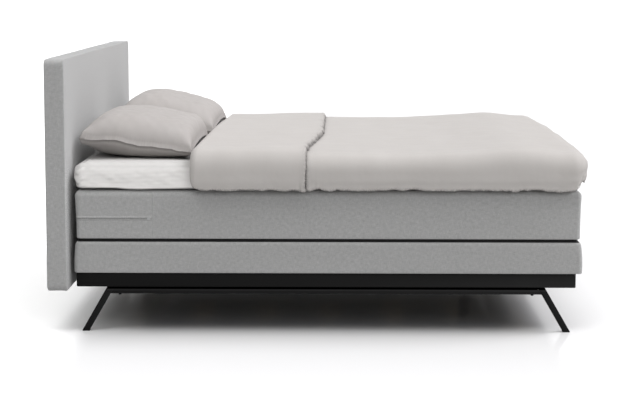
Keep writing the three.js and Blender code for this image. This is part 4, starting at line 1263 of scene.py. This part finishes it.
def layer_thickness(along, across, folded):
    """Thickness of one layer. It has a crown across the bed, 1 less the square of how far out a
    point lies, and a puff towards the foot, the squared sine of half a turn times the cube of the
    run, with a share of it kept at the foot's edge. It is thinner towards the far side and where it
    is doubled, and eased to less still where it hangs."""
    level = np.clip(np.abs(across) / flat_side, 0, 1)
    sideways = smooth((np.abs(across) - flat_side) / bend_length)
    footwards = smooth((along - flat_length) / bend_length - duvet_foot_start_share)
    run = np.clip((along - duvet_fold_depth) / (flat_length - duvet_fold_depth), 0, 1)
    kept = duvet_foot_full_share * smooth((run - duvet_foot_full_start) / (1 - duvet_foot_full_start))
    puff = duvet_foot_puff * (np.sin(math.pi * run ** 3) ** 2 + kept)
    crown = duvet_crown * (1 - level ** 2)
    far_thinning = duvet_far_thinning * smooth(across / flat_side)
    single = between(duvet_layer + puff + crown - far_thinning, duvet_side_layer, sideways)
    single = between(single, duvet_foot_layer, footwards)
    share = np.clip(along / duvet_fold_depth, 0, 1)
    far_thinning = far_thinning * (1 - duvet_fold_thinning_share * share)
    doubled = between(duvet_fold_layer + crown / 2 - far_thinning, duvet_fold_side_layer, sideways)
    past_hem = smooth((along - duvet_fold_depth - duvet_hem_step[0]) / duvet_hem_step[1])
    return doubled if folded else between(doubled, single, past_hem)


def puckers(run, distance, seed, pitch, reach):
    """Gathers along a seam: broad and fine uneven waves along its run, times a strength that itself
    wanders along it, and dying out with distance from it."""
    mean, varying, length = gather_strength
    strength = np.clip(mean + varying * uneven(run, 0 * run, length, seed), *gather_strength_ends)
    broad = uneven(run, 0 * run, pitch, seed + 1, 7)
    fine = gather_fine_share * uneven(run, 0 * run, pitch / gather_fine_ratio, seed + 2, 7)
    return strength * (broad + fine) * fading(distance, reach)


def duvet_path():
    """The rows of the duvet's path, as columns of numbers: the part that each belongs to, which is 0
    for the lower layer, 1 for the turn at the head fold and 2 for the part folded over, its
    distance along the bed and its angle round the fold."""
    near_hem = duvet_fold_depth + np.arange(*duvet_hem_rows)
    first, last, step = duvet_hem_rows
    covered = spaced(0.0, duvet_fold_depth + first - step, duvet_covered_step)
    reach, foot_step = duvet_foot_rows
    shown = spaced(duvet_fold_depth + last + step, full_along - reach - foot_step / 2, duvet_shown_step)
    foot = spaced(full_along - reach, full_along, foot_step)
    lower = np.concatenate([covered, near_hem, shown, foot])[::-1]
    turn = np.linspace(0, half_turn, duvet_turn_rows + 2)[1:-1]
    middle_step, end_step, end_reach = duvet_flap_steps
    flap = spaced(0.0, duvet_fold_depth, middle_step, end_step, end_reach)
    part = np.repeat([0, 1, 2], [len(lower), len(turn), len(flap)])[:, None]
    along = np.concatenate([lower, np.zeros(len(turn)), flap])[:, None]
    angle = np.concatenate([np.zeros(len(lower)), turn, np.full(len(flap), half_turn)])[:, None]
    return part, along, angle


def duvet_gathers(run, across, part, side, foot, hem):
    """Gathers by the side seams, the foot seam and the folded part's hem, the side's stronger near
    the other two. side, foot and hem are the distances from them."""
    by_side = puckers(run + 5 * (across > 0), side, *duvet_side_gathers)
    by_foot = puckers(across, foot, *duvet_foot_gathers) * (part == 0)
    by_hem = puckers(across, hem, *duvet_hem_gathers)
    near_hem = duvet_side_gather_gain * fading(hem, duvet_side_gather_hem_reach)
    near_foot = duvet_side_gather_gain * fading(foot, duvet_side_gather_foot_reach)
    return by_side * (1 + near_hem + near_foot) + by_foot + duvet_hem_gather_gain * by_hem


def duvet_side_waves(run, across, along, side):
    """How far the hanging sides wander up and down: the sum of broad waves and ripples, eased in as
    they hang, and of small scallops that die out from the seam and by the foot corners."""
    level = 0 * across
    waves = waving(run, level, duvet_hang_wave) + waving(run, level, duvet_hang_ripple)
    scallops = waving(run, level, duvet_scallop) + waving(run, level, duvet_fine_scallop)
    from_foot, reach = duvet_scallop_foot
    scallops = scallops * fading(side, duvet_scallop_reach)
    scallops = scallops * smooth((full_along - along - from_foot) / reach)
    return waves * smooth((np.abs(across) - flat_side) / side_hang) + scallops


def duvet_hem_waves(across, along, end):
    """How far the folded part wanders along the bed: a broad wave in proportion to how near it is to
    its hem, and a ragged line that dies out from the hem."""
    level = 0 * across
    ragged = waving(across, level, duvet_ragged_hem) + waving(across, level, duvet_fine_ragged_hem)
    wave = waving(across, level, duvet_hem_wave) * along / duvet_fold_depth
    return wave + ragged * fading(end, duvet_ragged_reach)


def foot_corner_cut(side, foot):
    """How far a point is drawn in from the side and from the foot, so that the square corner of the
    seams becomes a quarter circle: both parts of its way out from the circle's middle are cut by
    1 less the longer part over the way's own length. side and foot are its distances from the two
    seams."""
    over_side = np.maximum(0, foot_corner_radius - side)
    over_foot = np.maximum(0, foot_corner_radius - foot) + 0 * over_side
    over = np.hypot(over_side, over_foot)
    cut = 1 - np.maximum(over_side, over_foot) / np.where(over > 0, over, 1)
    return over_side * cut, over_foot * cut


def duvet():
    """The duvet as one padded sheet, seamed all round, over two parameters: along its path and across
    the bed. The path runs from the foot hem over the bed to the head fold, round it in half a circle,
    and back to the hem of the part folded over. Each point stands off the path by half the thickness,
    on either face, which is the layer's thickness times a quarter circle in from each seam, with
    gathers, puffs and crumples added."""
    middle_step, side_step, side_reach = duvet_across_steps
    columns_across = spaced(-half_across, half_across, middle_step, side_step, side_reach)
    part, along, angle = duvet_path()
    across = np.broadcast_to(columns_across[None, :], (len(along), len(columns_across)))
    side = half_across - np.abs(across)
    foot = np.where(part == 0, full_along - along, 1)
    end = np.where(part == 2, duvet_fold_depth - along, 1)
    hem = np.abs(duvet_fold_depth - along) + (part == 1)
    seam = np.minimum(np.minimum(side, foot), end)
    run = np.where(part == 2, -along, along)

    nose_layer = layer_thickness(np.zeros_like(along), across, True)
    low_layer = layer_thickness(along, across, False)
    doubled_layer = layer_thickness(along, across, True)
    curled = doubled_layer * duvet_curl_share * (1 - round_edge(end, duvet_end_rim / 2))
    high_layer = doubled_layer * between(duvet_curl_share, 1, round_edge(end, duvet_end_rim)) - curled
    radius = nose_layer / 2 + duvet_layer_gap / 2
    nose = radius + nose_layer / 2
    thick = np.where(part == 0, low_layer, np.where(part == 1, nose_layer, high_layer))
    fullness = round_edge(side - duvet_flange, duvet_rim) * round_edge(foot - duvet_flange, duvet_rim)
    half = np.maximum(fullness * thick, duvet_flange_thickness) / 2 * (seam > millimetre / 1000)

    gather = duvet_gathers(run, across, part, side, foot, hem)
    crumple = fading(side + foot, duvet_crumple_reach) * waving(run, across, duvet_corner_crumple)
    puff = waving(run, across, duvet_broad_puff) + waving(run, across, duvet_fine_puff)
    swell = duvet_gather_height * gather * smooth(seam / duvet_gather_rim) + crumple
    swell = swell + puff * smooth(seam / duvet_puff_rim)
    flange_wave = duvet_flange_wave_height * gather * fading(seam, duvet_flange_wave_reach)
    flange_wave = flange_wave * smooth((side + foot) / duvet_flange_corner_reach)
    side_cut, foot_cut = foot_corner_cut(side, foot)
    moved_across = across + np.sign(across) * (duvet_side_waves(run, across, along, side) - side_cut)
    on_bed = along + nose * np.clip(1 - along / duvet_fold_depth, 0, 1)
    hem_wave = duvet_hem_waves(across, along, end) * (part == 2)

    surfaces = []
    for face in (1, -1):
        top_face = np.where(part == 2, -face, face) > 0
        reach = face * (half + swell * np.where(top_face, 1.0, duvet_underside_share))
        turn_radius = radius - reach
        low_lift = low_layer / 2 + reach + flange_wave
        turn_lift = nose_layer / 2 + radius - turn_radius * np.cos(angle)
        high_lift = doubled_layer + duvet_layer_gap + curled + high_layer / 2 - reach + flange_wave
        lift = np.where(part == 0, low_lift, np.where(part == 1, turn_lift, high_lift))
        moved_along = np.where(part == 1, nose - turn_radius * np.sin(angle), on_bed)
        moved_along = moved_along + hem_wave - foot_cut
        surfaces.append(drape(moved_along, moved_across, np.maximum(lift, duvet_rest)))

    steps = np.abs(np.diff(along[:, 0])) + duvet_fold_layer * np.diff(angle[:, 0])
    path_length = np.concatenate([[0], np.cumsum(steps)])
    flat = np.stack(np.meshgrid(path_length, columns_across, indexing="ij"), -1)
    seam_distance = np.minimum(seam, hem + 0 * across)
    thing = two_faced("duvet_cover", surfaces, flat, (7.0, 0.0), seam_distance, 2 * close_by)
    dress(thing, "greige_cotton", "duvet")
    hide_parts("duvet")


# Pillows

def pillow_grid(count):
    """Places from -1 to 1, a little closer together towards the ends: half of them even, half the
    sine of a quarter turn times that."""
    even = np.linspace(-1, 1, count)
    return 0.5 * even + 0.5 * np.sin(quarter_turn * even)


def pillow_outline(u, v):
    """Places on the pillow laid flat: u and v times half its length and width, its seams drawn in
    between the corners by a share times 1 less a power of the place along the seam."""
    hollow = np.where(u < 0, pillow_head_hollow_share, pillow_foot_hollow_share)
    x = pillow_length / 2 * u * (1 - hollow * (1 - np.abs(v) ** pillow_hollow_power))
    y = pillow_width / 2 * v * (1 - pillow_side_hollow_share * (1 - np.abs(u) ** pillow_hollow_power))
    return x, y


def pillow_seam(u, v, x, y, foot_bow, seed):
    """How high the seam lies: a crease, less a sine wave that dies out from the head end and from
    the sides, less the drop of the head end's corners, by a high power of u times v, and the foot's
    bow."""
    corner = np.abs(u) * np.abs(v)
    length, reach = pillow_wave_shares
    wave = np.sin((u + 1) * full_turn / length) * fading(u + 1, reach) * np.abs(v) ** pillow_corner_power
    ears = corner ** pillow_ear_power * (u < 0)
    crease = waving(x, y, (*pillow_seam_crease, seed + 5))
    return crease - pillow_wave_height * wave - pillow_ear_drop * ears + foot_bow


def pillow(side, sign, crown, head_power, foot_power, fall, fall_start, seed):
    """One pillow: two layers sewn all round. The upper one stands off the seam by crown times the
    roots of 1 - ((1 - u) / 2) ^ head_power and 1 - u ^ foot_power, less a share of up to fall from
    fall_start on. The lower one bellies down to the sheet, and the whole is tilted so that its
    head end lies higher."""
    u = pillow_grid(pillow_rows)[:, None]
    v = sign * pillow_grid(pillow_columns)[None, :] * np.ones_like(u)
    u = u * np.ones_like(v)
    half_length = pillow_length / 2
    half_wide = pillow_width / 2
    x, y = pillow_outline(u, v)
    inner_u = np.clip(u / (1 - pillow_flange / half_length), -1, 1)
    inner_v = np.clip(v / (1 - pillow_flange / half_wide), -1, 1)
    from_end = (1 - np.abs(u)) * half_length
    from_side = (1 - np.abs(v)) * half_wide
    rim_distance = np.minimum(from_end, from_side)

    lengthways = np.sqrt(1 - ((1 - inner_u) / 2) ** head_power)
    lengthways = lengthways * np.sqrt(1 - np.clip(inner_u, 0, 1) ** foot_power)
    lengthways = lengthways * (1 - fall * smooth((inner_u - fall_start) / (1 - fall_start)))
    foot_bow = pillow_foot_bow * (1 - v ** 2) * smooth((u - pillow_bow_start) / (1 - pillow_bow_start))
    upper = (crown - foot_bow) * lengthways * np.sqrt(1 - np.abs(inner_v) ** pillow_side_power)
    lower = -pillow_belly * np.sqrt(1 - np.abs(inner_u) ** pillow_belly_power)
    lower = lower * np.sqrt(1 - np.abs(inner_v) ** pillow_belly_power)
    blunt = np.where(u < 0, pillow_head_blunt, pillow_foot_blunt)
    blunt = blunt * (np.abs(u) * np.abs(v)) ** pillow_corner_power
    blunt = blunt * smooth(rim_distance / pillow_blunt_reach)

    creases = waving(x, y, (*pillow_broad_crease, seed)) + waving(x, y, (*pillow_fine_crease, seed + 1))
    creases = creases * smooth(rim_distance / pillow_crease_rim)
    run = np.where(from_end < from_side, y, x + 3)
    gather = puckers(run, rim_distance, seed + 2, *pillow_gathers)
    gain, gain_start = pillow_end_gathers
    gather = gather * (1 + gain * smooth((np.abs(inner_u) - gain_start) / (1 - gain_start)))
    swell = pillow_gather_height * gather * smooth(rim_distance / pillow_gather_rim)
    seam = pillow_seam(u, v, x, y, foot_bow, seed)
    flange = pillow_flange_thickness / 2 * (rim_distance > millimetre / 1000)

    low, high = extent(f"pillow_{side}")
    middle = (low + high) / 2
    layers = []
    for face, stand_off, share in ((1, upper + blunt, 1), (-1, lower - blunt, pillow_underside_share)):
        off = stand_off + face * flange + share * (swell + face * creases) + seam
        tilted = x * math.cos(pillow_tilt) + off * math.sin(pillow_tilt)
        height = off * math.cos(pillow_tilt) - x * math.sin(pillow_tilt) + pillow_seam_height
        turned_x = tilted * math.cos(pillow_turn) + y * math.sin(pillow_turn)
        turned_y = y * math.cos(pillow_turn) - tilted * math.sin(pillow_turn)
        settled_height = settled(height, pillow_rest, pillow_rest_softness)
        place = (turned_x + middle[0], turned_y + middle[1], settled_height + sheet_high[2])
        layers.append(np.stack(place, -1))
    flat = np.stack([x, y], -1)
    thing = two_faced(f"pillow_case_{side}", layers, flat, (2.0, 0.0), rim_distance, close_by)
    dress(thing, "greige_cotton", f"pillow_{side}", pillow_painted_shade_finish)
    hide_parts(f"pillow_{side}")


def settled(height, rest, softness):
    """Heights that never go below rest, eased where they come near it: rest plus softness times the
    logarithm of 1 plus e to the height above rest over softness."""
    above = (height - rest) / softness
    well_above = 20  # from here on the eased height is the height itself
    eased = np.log1p(np.exp(np.minimum(above, well_above)))
    return rest + softness * np.where(above > well_above, above, eased)


# Frame parts

broken_edge_angle = 40  # degrees: only edges sharper than this are broken
broken_edge_widths = {
    "rail": 0.006, "leg": 0.003, "cross": 0.003, "plinth": 0.004, "centre": 0.002,
    "glide": 0.0008, "frame": 0.0006, "headboard_bracket": 0.0008,
}


def softened(node, slot, body, width):
    """A copy of a CAD part with its loose triangles merged and its sharp edges broken."""
    thing = bpy.data.objects.new(f"{node}_finished", frame["nodes"][node].data.copy())
    scene.collection.objects.link(thing)
    with edited(thing) as edit:
        bmesh.ops.remove_doubles(edit, verts=edit.verts, dist=close_by / 2)
        bmesh.ops.dissolve_limit(edit, angle_limit=math.radians(1), verts=edit.verts, edges=edit.edges)
    edge = thing.modifiers.new("broken_edge", "BEVEL")
    edge.width = width
    edge.segments = 2
    edge.limit_method = "ANGLE"
    edge.angle_limit = math.radians(broken_edge_angle)
    edge.harden_normals = True
    thing.data.polygons.foreach_set("use_smooth", np.ones(len(thing.data.polygons), bool))
    dress(thing, slot, body)
    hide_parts(node)
    return thing


def frame_parts():
    """Every CAD part that is still shown: the frame's parts with broken edges, the rest as they are."""
    for part in frame["record"]["subparts"]:
        node = part["node"]
        slot = part["material_slot"]
        thing = frame["nodes"][node]
        if thing.hide_render:
            continue
        widths = [width for start, width in broken_edge_widths.items() if node.startswith(start)]
        if widths:
            softened(node, slot, thing["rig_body"], widths[0])
        else:
            thing.data.materials.clear()
            thing.data.materials.append(finishes[slot])


# Studio

def floor():
    """A pale floor, whiter to the camera than in the light that it sends back, with painted shade under
    the bed and painted light past its head end, where the headboard's shadow falls."""
    corners = np.array([[-1, -1, 0], [1, -1, 0], [1, 1, 0], [-1, 1, 0]]) * floor_reach
    thing = make_mesh("studio_floor", corners, [[0, 1, 2, 3]])
    material, tree, shader = new_material("studio_floor", floor_roughness)
    shader.inputs["Specular IOR Level"].default_value = floor_gloss
    place = object_place(tree)
    along = part_of(tree, place, "X")
    across = calculate(tree, "ABSOLUTE", part_of(tree, place, "Y"))
    past_head = less(tree, headboard_low[0] + floor_head_gain_reach[0], along)
    share = fade(tree, past_head, (0, floor_head_gain_reach[1]))
    # painted light: the floor whiter past the headboard, over its shadow
    seen = blend_colours(tree, share, floor_camera_colour, floor_painted_light_colour)
    ends = (fade(tree, along, floor_under_head), fade(tree, along, floor_under_foot))
    under = times(tree, *ends, fade(tree, across, floor_under_side))
    # painted shade: the floor's colour darkened under the bed
    shaded = blend_colours(tree, under, (1, 1, 1, 1), floor_painted_shade_colour)
    seen = add_node(tree, "ShaderNodeVectorMath", {0: seen, 1: shaded}, operation="MULTIPLY").outputs[0]
    path = add_node(tree, "ShaderNodeLightPath")
    paint(tree, shader, blend_colours(tree, path.outputs["Is Camera Ray"], floor_bounce_colour, seen))
    thing.data.materials.append(material)


def sky():
    """Soft studio light from all round, stronger from above, and white where it shows."""
    world = bpy.data.worlds.new("studio_sky")
    scene.world = world
    world.use_nodes = True
    tree = world.node_tree
    soft = tree.nodes["Background"]
    heading = add_node(tree, "ShaderNodeTexCoord").outputs["Generated"]
    height = calculate(tree, "MAXIMUM", part_of(tree, heading, "Z"), 0.0)
    strength = between_values(tree, height, sky_low_strength, sky_high_strength)
    tree.links.new(strength, soft.inputs["Strength"])
    soft.inputs["Color"].default_value = (1, 1, 1, 1)
    white = add_node(tree, "ShaderNodeBackground", {"Color": (1, 1, 1, 1), "Strength": 1.0})
    path = add_node(tree, "ShaderNodeLightPath").outputs
    mirrored = calculate(tree, "MAXIMUM", path["Is Glossy Ray"], path["Is Transmission Ray"])
    shown = calculate(tree, "MAXIMUM", path["Is Camera Ray"], mirrored)
    mix = add_node(tree, "ShaderNodeMixShader", {0: shown, 1: soft.outputs[0], 2: white.outputs[0]})
    tree.links.new(mix.outputs[0], tree.nodes["World Output"].inputs["Surface"])


def sun(name, strength, angle, elevation, heading, colour=(1, 1, 1)):
    """A wide soft sun, at an elevation and a heading in degrees. A heading of 0 is the camera's
    side, 90 the foot end and 180 the back."""
    data = bpy.data.lights.new(name, "SUN")
    data.energy = strength
    data.color = colour
    data.angle = math.radians(angle)
    thing = bpy.data.objects.new(name, data)
    thing.rotation_euler = (math.radians(90 - elevation), 0, math.radians(heading))
    scene.collection.objects.link(thing)


def camera():
    """The camera of the picture, by its focal length in pixels, its place and its tilt."""
    data = bpy.data.cameras.new("camera")
    data.sensor_width = sensor_width_mm
    data.lens = focal_px / image_width_px * sensor_width_mm
    data.shift_y = camera_shift_y
    data.clip_end = 1000
    thing = bpy.data.objects.new("camera", data)
    thing.location = camera_place
    thing.rotation_euler = (math.radians(90 - camera_pitch_degrees), 0, math.radians(camera_yaw_degrees))
    scene.collection.objects.link(thing)
    scene.camera = thing


sides = {"near": -1, "far": 1}

camera()
for side, sign in sides.items():
    box_upholstery(side, sign)
    under_cloth(side)
    mattress_ticking(side, sign)
headboard_upholstery()
headboard_layer("headboard_panel", "headboard_board", "timber")
headboard_layer("headboard_foam", "headboard_pad", "foam")
topper_core()
fitted_sheet()
duvet()
for side, sign in sides.items():
    pillow(side, sign, **pillow_shapes[side])
frame_parts()
floor()
sky()
for name, light in suns.items():
    sun(name, **light)
scene.view_settings.view_transform = "Standard"
